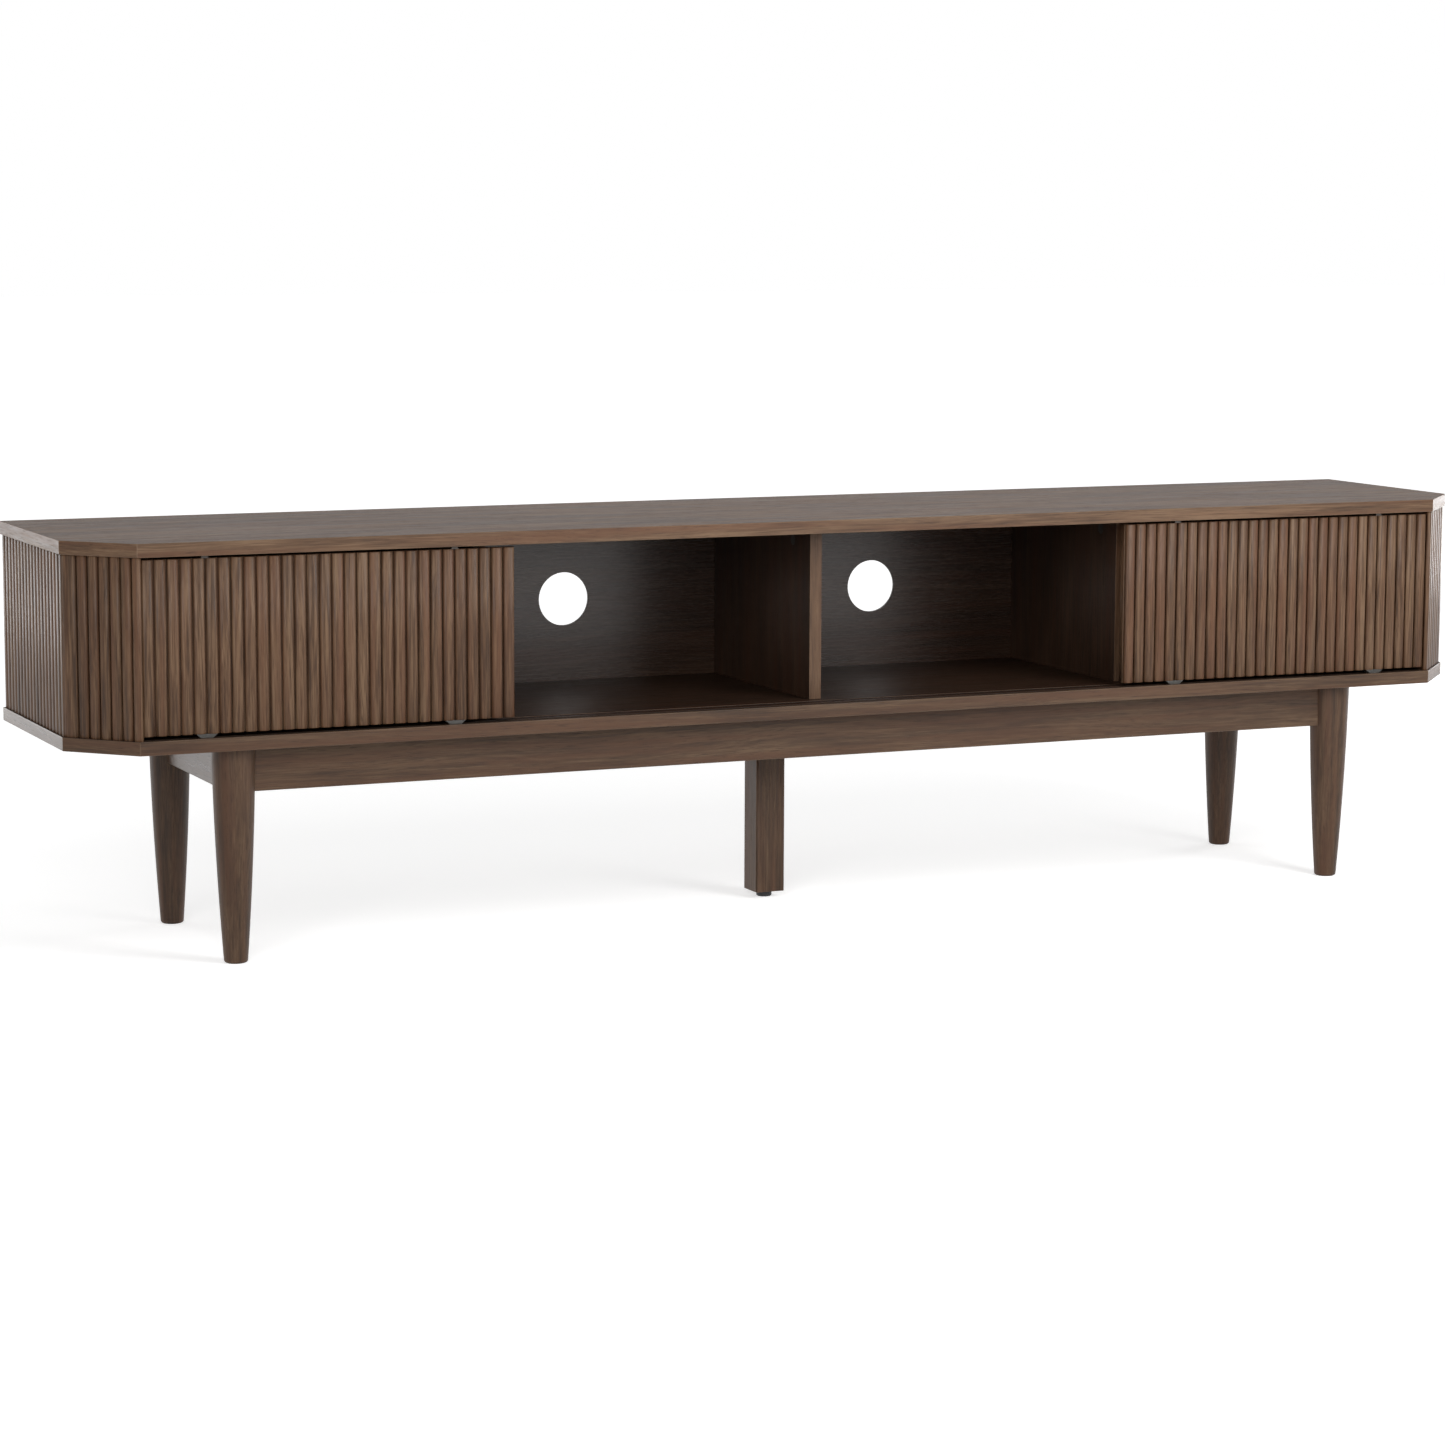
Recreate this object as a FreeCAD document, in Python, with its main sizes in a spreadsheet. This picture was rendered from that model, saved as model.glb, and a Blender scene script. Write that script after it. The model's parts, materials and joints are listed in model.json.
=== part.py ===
import FreeCAD, Part
import os

import Sketcher

# Media cabinet: four bays under one long top, two sliding slatted doors, and a leg frame.
# Millimetres. +Z is up, -Y is the front, and the origin is on the floor below the middle.

SIZES = [
    # overall box
    ("overall_width", 2100),
    ("overall_depth", 400),
    ("overall_height", 555),
    ("under_height", 285),           # floor to the underside of the bottom board
    ("corner_cut_width", 79),        # cut-off front corner, along the front
    ("corner_cut_depth", 83),        # the same corner, along the end
    # boards
    ("top_thick", 18),
    ("bottom_thick", 18),
    ("upright_thick", 18),
    ("middle_bay_width", 470),
    ("upright_setback", 55),         # front edge of the divider behind the top's front edge
    ("partition_setback", 66),       # the same for the two partitions
    ("backing_thick", 16),           # boards behind the strips of the ends and corners
    ("cladding_inset", 2),           # strips' faces behind the top's edge
    ("post_setback", 3),             # flat front end of a corner panel
    ("back_thick", 5),
    ("back_setback", 17),            # back panel's rear face in from the cabinet's back
    ("back_groove_depth", 6),
    ("back_clearance", 0.2),
    ("back_split_gap", 0.6),
    ("cable_hole_radius", 38),
    # strips
    ("strip_thick", 6),
    ("strip_crown", 1.4),            # rise of a strip's rounded face
    ("strip_pitch", 16.67),          # wanted pitch; each panel divides evenly near it
    ("strip_gap", 3.4),
    ("strip_least", 6),              # narrowest strip left at the front of an end
    ("corner_wide_strip", 21),       # strip of a corner panel beside the end
    ("corner_last_share", 0.61),     # its last strip, as a part of the pitch
    # doors and their tracks
    ("door_width", 505),
    ("door_backing_thick", 10),
    ("door_front_setback", 5),
    ("door_side_gap", 2.5),
    ("door_top_gap", 3.6),
    ("door_bottom_gap", 5.4),
    ("track_width", 10),
    ("track_depth", 6),
    ("track_front_setback", 11),     # front track's centre line from the front edge
    ("track_spacing", 24),
    ("track_end_margin", 3),
    ("glide_length", 28),
    ("glide_foot_length", 16),
    ("guide_length", 10),
    ("guide_tip_length", 8),
    ("glide_clearance", 0.3),
    ("guide_lift", 2),               # room over a top guide for lifting the door in
    ("glide_from_edge", 84),
    ("glide_peg_radius", 3),
    ("glide_peg_length", 14),
    # connectors
    ("hole_clearance", 0.1),
    ("dowel_radius", 4),
    ("dowel_length", 30),
    ("dowel_panel_depth", 10),
    ("dowel_from_cam", 34),
    ("cam_radius", 7.3),
    ("cam_depth", 12),
    ("cam_cap_thick", 1.5),
    ("cam_drop", 18),                # cam centre below the top board
    ("cam_from_edge", 56),
    ("cam_bolt_radius", 3.2),
    ("cam_bolt_overlap", 2),
    ("cam_thread_radius", 2.5),
    ("cam_thread_length", 10),
    ("screw_radius", 2.2),
    ("screw_head_radius", 4.4),
    ("screw_head_height", 2.6),
    ("bottom_screw_length", 48),
    ("back_screw_radius", 1.6),
    ("back_screw_head_radius", 3.4),
    ("back_screw_head_height", 1.8),
    ("back_screw_length", 26),
    ("back_screw_margin", 30),
    ("frame_screw_bore_depth", 30),
    ("frame_screw_grip", 12),
    ("frame_screw_from_end", 205),
    ("frame_screw_from_middle", 210),
    ("frame_screw_from_leg", 60),    # beside the centre leg
    ("leg_screw_length", 24),
    # leg frame
    ("leg_from_end", 216),
    ("leg_from_edge", 51),
    ("leg_top_radius", 28.5),
    ("leg_mid_radius", 24.2),
    ("leg_foot_radius", 15.8),
    ("leg_foot_round", 4),
    ("rail_thick", 20),
    ("rail_height", 60),
    ("rail_end_from_axis", 16),
    ("frame_dowel_tip_from_axis", 6.5),
    ("frame_dowel_length", 30),
    ("frame_dowel_spacing", 30),
    ("centre_dowel_past_axis", 2),   # how far a centre rail's dowel passes a long rail's middle
    ("centre_leg_side", 44),
    ("centre_leg_behind_front", 220),
    ("centre_leg_bottom", 9),
    ("centre_leg_edge", 2),
    # adjustable foot
    ("foot_pad_radius", 11),
    ("foot_pad_height", 8.6),
    ("foot_pad_chamfer", 1.5),
    ("foot_pad_floor", 3),
    ("foot_stud_radius", 3.92),
    ("foot_stud_length", 30),
    ("foot_insert_bore", 4),
    ("foot_insert_radius", 6),
    ("foot_insert_length", 20),
    ("foot_stud_room", 6),
]

DOOR_GLIDE_SIDES = (-1, 1)
BACK_SCREW_ROWS = (-1, 0, 1)

doc = FreeCAD.newDocument("media_cabinet")


def size(name):
    """A cell of the sheet, as it is written in an expression."""
    return f"Sizes.{name}"


def fill_sheet():
    sheet = doc.addObject("Spreadsheet::Sheet", "Sizes")
    for row, (name, value) in enumerate(SIZES, start=1):
        sheet.set(f"A{row}", name)
        sheet.set(f"B{row}", str(value))
        sheet.setAlias(f"B{row}", name)
    doc.recompute()
    return sheet


sheet = fill_sheet()

# ---- places worked out from the sizes, as expressions -------------------------------------

FRONT = f"(-{size('overall_depth')} / 2)"
BACK = f"({size('overall_depth')} / 2)"
HALF_WIDTH = f"({size('overall_width')} / 2)"
FLOOR_TOP = f"({size('under_height')} + {size('bottom_thick')})"
CEILING = f"({size('overall_height')} - {size('top_thick')})"
INNER_HEIGHT = f"({CEILING} - {FLOOR_TOP})"

# back panel and the fronts of the uprights
BACK_OUTER = f"({BACK} - {size('back_setback')})"
BACK_INNER = f"({BACK_OUTER} - {size('back_thick')})"
BACK_GROOVE_FRONT = f"({BACK_INNER} - {size('back_clearance')})"
BACK_GROOVE_REAR = f"({BACK_OUTER} + {size('back_clearance')})"
BACK_REACH = f"({size('back_groove_depth')} - {size('back_clearance')})"
UPRIGHT_FRONT = f"({FRONT} + {size('upright_setback')})"
PARTITION_FRONT = f"({FRONT} + {size('partition_setback')})"
PARTITION_X = f"({size('middle_bay_width')} + {size('upright_thick')})"

# end and corner panels: an outer line, a line between strips and backing, and an inner line
CUT_LENGTH = f"sqrt({size('corner_cut_width')}^2 + {size('corner_cut_depth')}^2)"
CUT_COS = f"({size('corner_cut_width')} / {CUT_LENGTH})"
CUT_SIN = f"({size('corner_cut_depth')} / {CUT_LENGTH})"
OUTER_LINE = size("cladding_inset")
MIDDLE_LINE = f"({size('cladding_inset')} + {size('strip_thick')})"
INNER_LINE = f"({MIDDLE_LINE} + {size('backing_thick')})"
POST_X = f"({HALF_WIDTH} - {size('corner_cut_width')} - {size('post_setback')})"
POST_Y = f"({FRONT} + {size('post_setback')})"
CLAD_BACK = f"({BACK} - {size('cladding_inset')})"
END_OUTER_X = f"({HALF_WIDTH} - {OUTER_LINE})"
END_MIDDLE_X = f"({HALF_WIDTH} - {MIDDLE_LINE})"
END_INNER_X = f"({HALF_WIDTH} - {INNER_LINE})"


def cut_line_y(x, inset):
    """Y where the line parallel to the right-hand cut corner, inset from it, passes x."""
    start = f"({HALF_WIDTH} - {size('corner_cut_width')})"
    slope = f"({size('corner_cut_depth')} / {size('corner_cut_width')})"
    return f"({FRONT} + ({x} - {start}) * {slope} + {inset} / {CUT_COS})"


def cut_line_x(y, inset):
    """X where that same line passes y."""
    start = f"({HALF_WIDTH} - {size('corner_cut_width')})"
    slope = f"({size('corner_cut_width')} / {size('corner_cut_depth')})"
    return f"({start} + ({y} - {FRONT} - {inset} / {CUT_COS}) * {slope})"


# doors and tracks
DOOR_FRONT = f"({FRONT} + {size('door_front_setback')})"
DOOR_BACKING_FRONT = f"({DOOR_FRONT} + {size('strip_thick')})"
DOOR_BACK = f"({DOOR_BACKING_FRONT} + {size('door_backing_thick')})"
DOOR_BOTTOM = f"({FLOOR_TOP} + {size('door_bottom_gap')})"
DOOR_TOP = f"({CEILING} - {size('door_top_gap')})"
DOOR_HEIGHT = f"({DOOR_TOP} - {DOOR_BOTTOM})"
DOOR_OUTER_X = f"({POST_X} - {size('door_side_gap')})"
DOOR_CENTRE_X = f"({DOOR_OUTER_X} - {size('door_width')} / 2)"
TRACK_Y = f"({FRONT} + {size('track_front_setback')})"
TRACK_END = f"({POST_X} - {size('track_end_margin')})"
PEG_Y = f"(({DOOR_BACKING_FRONT} + {DOOR_BACK}) / 2)"

# leg frame
LEG_X = f"({HALF_WIDTH} - {size('leg_from_end')})"
LEG_Y = f"({BACK} - {size('leg_from_edge')})"
RAIL_BOTTOM = f"({size('under_height')} - {size('rail_height')})"
RAIL_MIDDLE = f"({size('under_height')} - {size('rail_height')} / 2)"
CENTRE_LEG_Y = f"({FRONT} + {size('centre_leg_behind_front')})"

# rows of connectors along Y, in every upright
CAM_FRONT_Y = f"({UPRIGHT_FRONT} + {size('cam_from_edge')})"
CAM_REAR_Y = f"({BACK_INNER} - {size('cam_from_edge')})"
DOWEL_FRONT_Y = f"({CAM_FRONT_Y} + {size('dowel_from_cam')})"
DOWEL_REAR_Y = f"({CAM_REAR_Y} - {size('dowel_from_cam')})"
CAM_ROWS = (CAM_FRONT_Y, CAM_REAR_Y)
DOWEL_ROWS = (DOWEL_FRONT_Y, DOWEL_REAR_Y)
CAM_Z = f"({CEILING} - {size('cam_drop')})"

# the centre line of each upright and end board, and the way its cams face
END_X = f"({HALF_WIDTH} - {MIDDLE_LINE} - {size('backing_thick')} / 2)"
UPRIGHTS = [
    ("left_end", f"(-{END_X})", size("backing_thick"), 1),
    ("left_partition", f"(-{PARTITION_X})", size("upright_thick"), 1),
    ("centre_divider", "0", size("upright_thick"), -1),
    ("right_partition", PARTITION_X, size("upright_thick"), -1),
    ("right_end", END_X, size("backing_thick"), -1),
]


# ---- small modelling helpers ---------------------------------------------------------------

def value(expression):
    """What an expression is worth now, for a sketch's first guess."""
    return float(sheet.evalExpression(expression))


def origin_plane(body, role):
    for feature in body.Origin.OriginFeatures:
        if feature.Role == role:
            return feature


def new_sketch(body, name, role="XY_Plane", lift=None):
    """A sketch on one of the body's own planes, lifted along the plane's normal."""
    sketch = body.newObject("Sketcher::SketchObject", name)
    sketch.AttachmentSupport = [(origin_plane(body, role), "")]
    sketch.MapMode = "FlatFace"
    if lift is not None:
        sketch.setExpression("AttachmentOffset.Base.z", lift)
    return sketch


def pin_point(sketch, geometry, position, x, y):
    """Fixes a point of the sketch at (x, y), both expressions."""
    for kind, expression in (("DistanceX", x), ("DistanceY", y)):
        constraint = Sketcher.Constraint(kind, -1, 1, geometry, position, value(expression))
        index = sketch.addConstraint(constraint)
        sketch.setExpression(f"Constraints[{index}]", expression)


def draw_outline(sketch, points):
    """A closed outline through points given as expressions.

    A point is (x, y), or (x, y, (via_x, via_y)) where the edge that starts there is an arc
    through the third pair.
    """
    corners = [FreeCAD.Vector(value(point[0]), value(point[1]), 0) for point in points]
    first = sketch.GeometryCount
    count = len(points)
    ends = []
    for index, point in enumerate(points):
        start = corners[index]
        end = corners[(index + 1) % count]
        if len(point) == 2:
            sketch.addGeometry(Part.LineSegment(start, end), False)
            ends.append((1, 2))
        else:
            via = FreeCAD.Vector(value(point[2][0]), value(point[2][1]), 0)
            sketch.addGeometry(Part.Arc(start, via, end), False)
            turns_left = (via - start).cross(end - via).z > 0
            ends.append((1, 2) if turns_left else (2, 1))
    for index in range(count):
        following = (index + 1) % count
        sketch.addConstraint(Sketcher.Constraint(
            "Coincident", first + index, ends[index][1], first + following, ends[following][0]))
    for index, point in enumerate(points):
        pin_point(sketch, first + index, ends[index][0], point[0], point[1])
    for index, point in enumerate(points):
        if len(point) == 3:
            via = FreeCAD.Vector(value(point[2][0]), value(point[2][1]), 0)
            mark = sketch.addGeometry(Part.Point(via), True)
            pin_point(sketch, mark, 1, *point[2])
            sketch.addConstraint(Sketcher.Constraint("PointOnObject", mark, 1, first + index))


def rectangle(x_low, x_high, y_low, y_high):
    return [(x_low, y_low), (x_high, y_low), (x_high, y_high), (x_low, y_high)]


def new_body(label, base_z):
    """A body whose own XY plane stands at the height base_z."""
    body = doc.addObject("PartDesign::Body", label)
    body.setExpression("Placement.Base.z", base_z)
    return body


def pad(body, name, points, length):
    """Adds an outline's prism on the body's XY plane."""
    sketch = new_sketch(body, f"{name}_outline")
    draw_outline(sketch, points)
    feature = body.newObject("PartDesign::Pad", name)
    feature.Profile = sketch
    feature.setExpression("Length", length)
    return feature


def pocket_down(body, name, outlines, depth, top):
    """Cuts outlines downwards from the height top, measured in the body."""
    sketch = new_sketch(body, f"{name}_outline", lift=top)
    for points in outlines:
        draw_outline(sketch, points)
    feature = body.newObject("PartDesign::Pocket", name)
    feature.Profile = sketch
    feature.setExpression("Length", depth)
    return feature


def pocket_up(body, name, outlines, depth):
    """Cuts outlines upwards from the body's XY plane."""
    sketch = new_sketch(body, f"{name}_outline")
    for points in outlines:
        draw_outline(sketch, points)
    feature = body.newObject("PartDesign::Pocket", name)
    feature.Profile = sketch
    feature.Reversed = True
    feature.setExpression("Length", depth)
    return feature


def board(label, base_z, points, thick):
    body = new_body(label, base_z)
    pad(body, f"{label}_pad", points, thick)
    return body


TURNS = {
    "+Z": FreeCAD.Rotation(),
    "-Z": FreeCAD.Rotation(FreeCAD.Vector(1, 0, 0), 180),
    "+X": FreeCAD.Rotation(FreeCAD.Vector(0, 1, 0), 90),
    "-X": FreeCAD.Rotation(FreeCAD.Vector(0, 1, 0), -90),
    "+Y": FreeCAD.Rotation(FreeCAD.Vector(1, 0, 0), -90),
    "-Y": FreeCAD.Rotation(FreeCAD.Vector(1, 0, 0), 90),
}


def place(feature, at, turn=None):
    """Binds a primitive's place to expressions and turns its own Z to a row direction."""
    if turn is not None:
        feature.Placement = FreeCAD.Placement(FreeCAD.Vector(), TURNS[turn])
    for axis, expression in zip("xyz", at):
        feature.setExpression(f"Placement.Base.{axis}", expression)
    return feature


def rod(name, at, turn, radius, length):
    feature = doc.addObject("Part::Cylinder", name)
    feature.setExpression("Radius", radius)
    feature.setExpression("Height", length)
    return place(feature, at, turn)


def block(name, low, lengths):
    feature = doc.addObject("Part::Box", name)
    for side, expression in zip(("Length", "Width", "Height"), lengths):
        feature.setExpression(side, expression)
    return place(feature, low)


def fuse(name, pieces):
    feature = doc.addObject("Part::MultiFuse", name)
    feature.Shapes = pieces
    return feature


def cut(name, base, tool):
    feature = doc.addObject("Part::Cut", name)
    feature.Base = base
    feature.Tool = tool
    return feature


def common(name, base, tool):
    feature = doc.addObject("Part::Common", name)
    feature.Base = base
    feature.Tool = tool
    return feature


def group(name, pieces):
    feature = doc.addObject("Part::Compound", name)
    feature.Links = pieces
    return feature


def drilled(label, base, holes):
    """The board with its holes cut; the holes share their places with what goes into them."""
    return cut(label, base, fuse(f"{label}_holes", holes))


def shifted(at, turn, distance):
    """The point a distance along a row direction, as expressions."""
    sign = turn[0]
    axis = "XYZ".index(turn[1])
    moved = list(at)
    moved[axis] = f"({moved[axis]} {sign} {distance})"
    return tuple(moved)


def screw(name, at, turn, radius, head_radius, head_height, length):
    """A countersunk screw whose head's face is at the point and whose tip is along turn."""
    head = doc.addObject("Part::Cone", f"{name}_head")
    head.setExpression("Radius1", head_radius)
    head.setExpression("Radius2", radius)
    head.setExpression("Height", head_height)
    place(head, at, turn)
    shank = rod(f"{name}_shank", at, turn, radius, length)
    return fuse(name, [head, shank])


def screw_hole(name, at, turn, radius, head_radius, head_height, length):
    """The countersunk hole that such a screw fills, larger by the hole clearance."""
    slack = size("hole_clearance")
    return screw(name, at, turn, f"{radius} + {slack}", f"{head_radius} + {slack}",
                 f"{head_height} + {slack}", f"{length} + {slack}")


NODES = {}


def node(label, feature):
    """Registers a finished sub-part under its own label."""
    feature.Label = label
    NODES[label] = feature
    return feature


# ---- strips ---------------------------------------------------------------------------------

def strip_outline(x_low, width):
    """A strip's section: flat back on the X axis, rounded face towards -Y."""
    thick = size("strip_thick")
    shoulder = f"(-({thick} - {size('strip_crown')}))"
    x_high = f"({x_low} + {width})"
    crown = (f"({x_low} + {width} / 2)", f"(-{thick})")
    return [(x_low, "0"), (x_low, shoulder, crown), (x_high, shoulder), (x_high, "0")]


def strip_row(body, name, x_low, pitch, count, height):
    """Strips at one pitch along the body's X, half a gap in from both ends of the row."""
    gap = size("strip_gap")
    first = pad(body, f"{name}_first",
                strip_outline(f"({x_low} + {gap} / 2)", f"({pitch} - {gap})"), height)
    row = body.newObject("PartDesign::LinearPattern", f"{name}_row")
    row.Originals = [first]
    row.Direction = (first.Profile[0], ["H_Axis"])
    row.setExpression("Length", f"max(({count} - 1) * {pitch}; 1)")
    row.setExpression("Occurrences", count)
    body.Tip = row
    return row


def turned_body(label, base, angle):
    """A body turned about Z, with its origin at the point base."""
    body = doc.addObject("PartDesign::Body", label)
    body.Placement = FreeCAD.Placement(
        FreeCAD.Vector(), FreeCAD.Rotation(FreeCAD.Vector(0, 0, 1), value(angle)))
    body.setExpression("Placement.Rotation.Angle", angle)
    return place(body, base)


# ---- the two long boards --------------------------------------------------------------------

def plan_outline():
    """The plan of the top and bottom boards: a rectangle with its front corners cut off."""
    cut_x = f"({HALF_WIDTH} - {size('corner_cut_width')})"
    cut_y = f"({FRONT} + {size('corner_cut_depth')})"
    return [
        (f"(-{cut_x})", FRONT),
        (cut_x, FRONT),
        (HALF_WIDTH, cut_y),
        (HALF_WIDTH, BACK),
        (f"(-{HALF_WIDTH})", BACK),
        (f"(-{HALF_WIDTH})", cut_y),
    ]


def track_outlines():
    outlines = []
    for track in range(2):
        middle = f"({TRACK_Y} + {track} * {size('track_spacing')})"
        low = f"({middle} - {size('track_width')} / 2)"
        high = f"({middle} + {size('track_width')} / 2)"
        outlines.append(rectangle(f"(-{TRACK_END})", TRACK_END, low, high))
    return outlines


def back_groove_outline():
    end = f"({END_INNER_X} + {size('back_groove_depth')})"
    return rectangle(f"(-{end})", end, BACK_GROOVE_FRONT, BACK_GROOVE_REAR)


def corner_dowel_places():
    """One dowel at the middle of each corner panel's backing."""
    x = f"(({POST_X} + {END_INNER_X}) / 2)"
    y = cut_line_y(x, f"({MIDDLE_LINE} + {size('backing_thick')} / 2)")
    return [(x, y), (f"(-{x})", y)]


def upright_dowel_places():
    return [(x, y) for _, x, _, _ in UPRIGHTS for y in DOWEL_ROWS]


def dowel_places():
    return upright_dowel_places() + corner_dowel_places()


def cam_places():
    return [(x, y) for _, x, _, _ in UPRIGHTS for y in CAM_ROWS]


DOWEL_HOLE = f"({size('dowel_radius')} + {size('hole_clearance')})"
PANEL_DOWEL_DEPTH = f"({size('dowel_panel_depth')} + {size('hole_clearance')})"
UPRIGHT_DOWEL_DEPTH = (
    f"({size('dowel_length')} - {size('dowel_panel_depth')} + {size('hole_clearance')})")
THREAD_HOLE = f"({size('cam_thread_radius')} + {size('hole_clearance')})"
THREAD_DEPTH = f"({size('cam_thread_length')} + {size('hole_clearance')})"


def make_top_panel():
    body = board("top_panel_board", CEILING, plan_outline(), size("top_thick"))
    pocket_up(body, "top_tracks", track_outlines(), size("track_depth"))
    pocket_up(body, "top_back_groove", [back_groove_outline()], size("back_groove_depth"))
    holes = []
    for index, (x, y) in enumerate(dowel_places()):
        holes.append(rod(f"top_dowel_hole_{index}", (x, y, CEILING), "+Z",
                         DOWEL_HOLE, PANEL_DOWEL_DEPTH))
    for index, (x, y) in enumerate(cam_places()):
        holes.append(rod(f"top_thread_hole_{index}", (x, y, CEILING), "+Z",
                         THREAD_HOLE, THREAD_DEPTH))
    node("top_panel", drilled("top_panel_drilled", body, holes))


def make_bottom_panel():
    body = board("bottom_panel_board", size("under_height"), plan_outline(),
                 size("bottom_thick"))
    thick = size("bottom_thick")
    pocket_down(body, "bottom_tracks", track_outlines(), size("track_depth"), thick)
    pocket_down(body, "bottom_back_groove", [back_groove_outline()],
                size("back_groove_depth"), thick)
    holes = []
    for index, (x, y) in enumerate(dowel_places()):
        holes.append(rod(f"bottom_dowel_hole_{index}", (x, y, FLOOR_TOP), "-Z",
                         DOWEL_HOLE, PANEL_DOWEL_DEPTH))
    for index, (x, y) in enumerate(cam_places()):
        holes.append(carcass_screw(screw_hole, f"bottom_screw_hole_{index}", x, y))
    for index, (x, y) in enumerate(frame_screw_places()):
        holes.append(rod(f"bottom_frame_hole_{index}", (x, y, size("under_height")), "+Z",
                         SCREW_HOLE, f"({size('frame_screw_grip')} + {size('hole_clearance')})"))
    node("bottom_panel", drilled("bottom_panel_drilled", body, holes))


# ---- uprights, ends and corners -------------------------------------------------------------

SCREW_HOLE = f"({size('screw_radius')} + {size('hole_clearance')})"
CAM_HOLE = f"({size('cam_radius')} + {size('hole_clearance')})"
CAM_BOLT_HOLE = f"({size('cam_bolt_radius')} + {size('hole_clearance')})"
CAM_BOLT_HOLE_DEPTH = (
    f"({size('cam_drop')} + {size('cam_bolt_overlap')} + {size('hole_clearance')})")


def carcass_screw(make, name, x, y):
    """A screw, or its hole, up through the bottom board into an upright."""
    return make(name, (x, y, size("under_height")), "+Z", size("screw_radius"),
                size("screw_head_radius"), size("screw_head_height"),
                size("bottom_screw_length"))


def cam_face(x, thick, facing):
    """X of the face that the cams of an upright are let into."""
    return f"({x} + {facing} * {thick} / 2)"


def inwards(facing):
    """The row direction from that face into the board."""
    return "-X" if facing > 0 else "+X"


def upright_holes(label, x, thick, facing):
    holes = []
    for index, y in enumerate(DOWEL_ROWS):
        holes.append(rod(f"{label}_dowel_low_{index}", (x, y, FLOOR_TOP), "+Z",
                         DOWEL_HOLE, UPRIGHT_DOWEL_DEPTH))
        holes.append(rod(f"{label}_dowel_high_{index}", (x, y, CEILING), "-Z",
                         DOWEL_HOLE, UPRIGHT_DOWEL_DEPTH))
    for index, y in enumerate(CAM_ROWS):
        face = cam_face(x, thick, facing)
        holes.append(rod(f"{label}_cam_hole_{index}", (face, y, CAM_Z), inwards(facing),
                         CAM_HOLE, f"({size('cam_depth')} + {size('hole_clearance')})"))
        holes.append(rod(f"{label}_bolt_hole_{index}", (x, y, CEILING), "-Z",
                         CAM_BOLT_HOLE, CAM_BOLT_HOLE_DEPTH))
        holes.append(carcass_screw(screw_hole, f"{label}_screw_hole_{index}", x, y))
    return holes


def upright_outline(label, x):
    half = f"{size('upright_thick')} / 2"
    front = UPRIGHT_FRONT if label == "centre_divider" else PARTITION_FRONT
    return rectangle(f"({x} - {half})", f"({x} + {half})", front, BACK_INNER)


BACK_SCREW_RISE = f"({INNER_HEIGHT} / 2 - {size('back_screw_margin')})"
BACK_SCREW_X = {
    "left_partition": [f"(-{PARTITION_X})"],
    "centre_divider": [f"(-{size('upright_thick')} / 4)", f"({size('upright_thick')} / 4)"],
    "right_partition": [PARTITION_X],
}


def back_screw_places(label):
    middle = f"(({FLOOR_TOP} + {CEILING}) / 2)"
    return [(x, f"({middle} + ({row}) * {BACK_SCREW_RISE})")
            for x in BACK_SCREW_X[label] for row in BACK_SCREW_ROWS]


def back_screw(make, name, x, z):
    """A small screw, or its hole, through the back panel into an upright's rear edge."""
    return make(name, (x, BACK_OUTER, z), "-Y", size("back_screw_radius"),
                size("back_screw_head_radius"), size("back_screw_head_height"),
                size("back_screw_length"))


def make_upright(label, x, thick, facing):
    body = board(f"{label}_board", FLOOR_TOP, upright_outline(label, x), INNER_HEIGHT)
    holes = upright_holes(label, x, thick, facing)
    for index, (screw_x, screw_z) in enumerate(back_screw_places(label)):
        holes.append(back_screw(screw_hole, f"{label}_back_hole_{index}", screw_x, screw_z))
    return node(label, drilled(f"{label}_drilled", body, holes))


def mirrored(label, source):
    """The left-hand piece, as the mirror image of the right-hand one."""
    feature = doc.addObject("Part::Mirroring", f"{label}_mirror")
    feature.Source = source
    feature.Normal = FreeCAD.Vector(1, 0, 0)
    return node(label, feature)


def mitre_point(end_x, inset):
    return (end_x, cut_line_y(end_x, inset))


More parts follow.
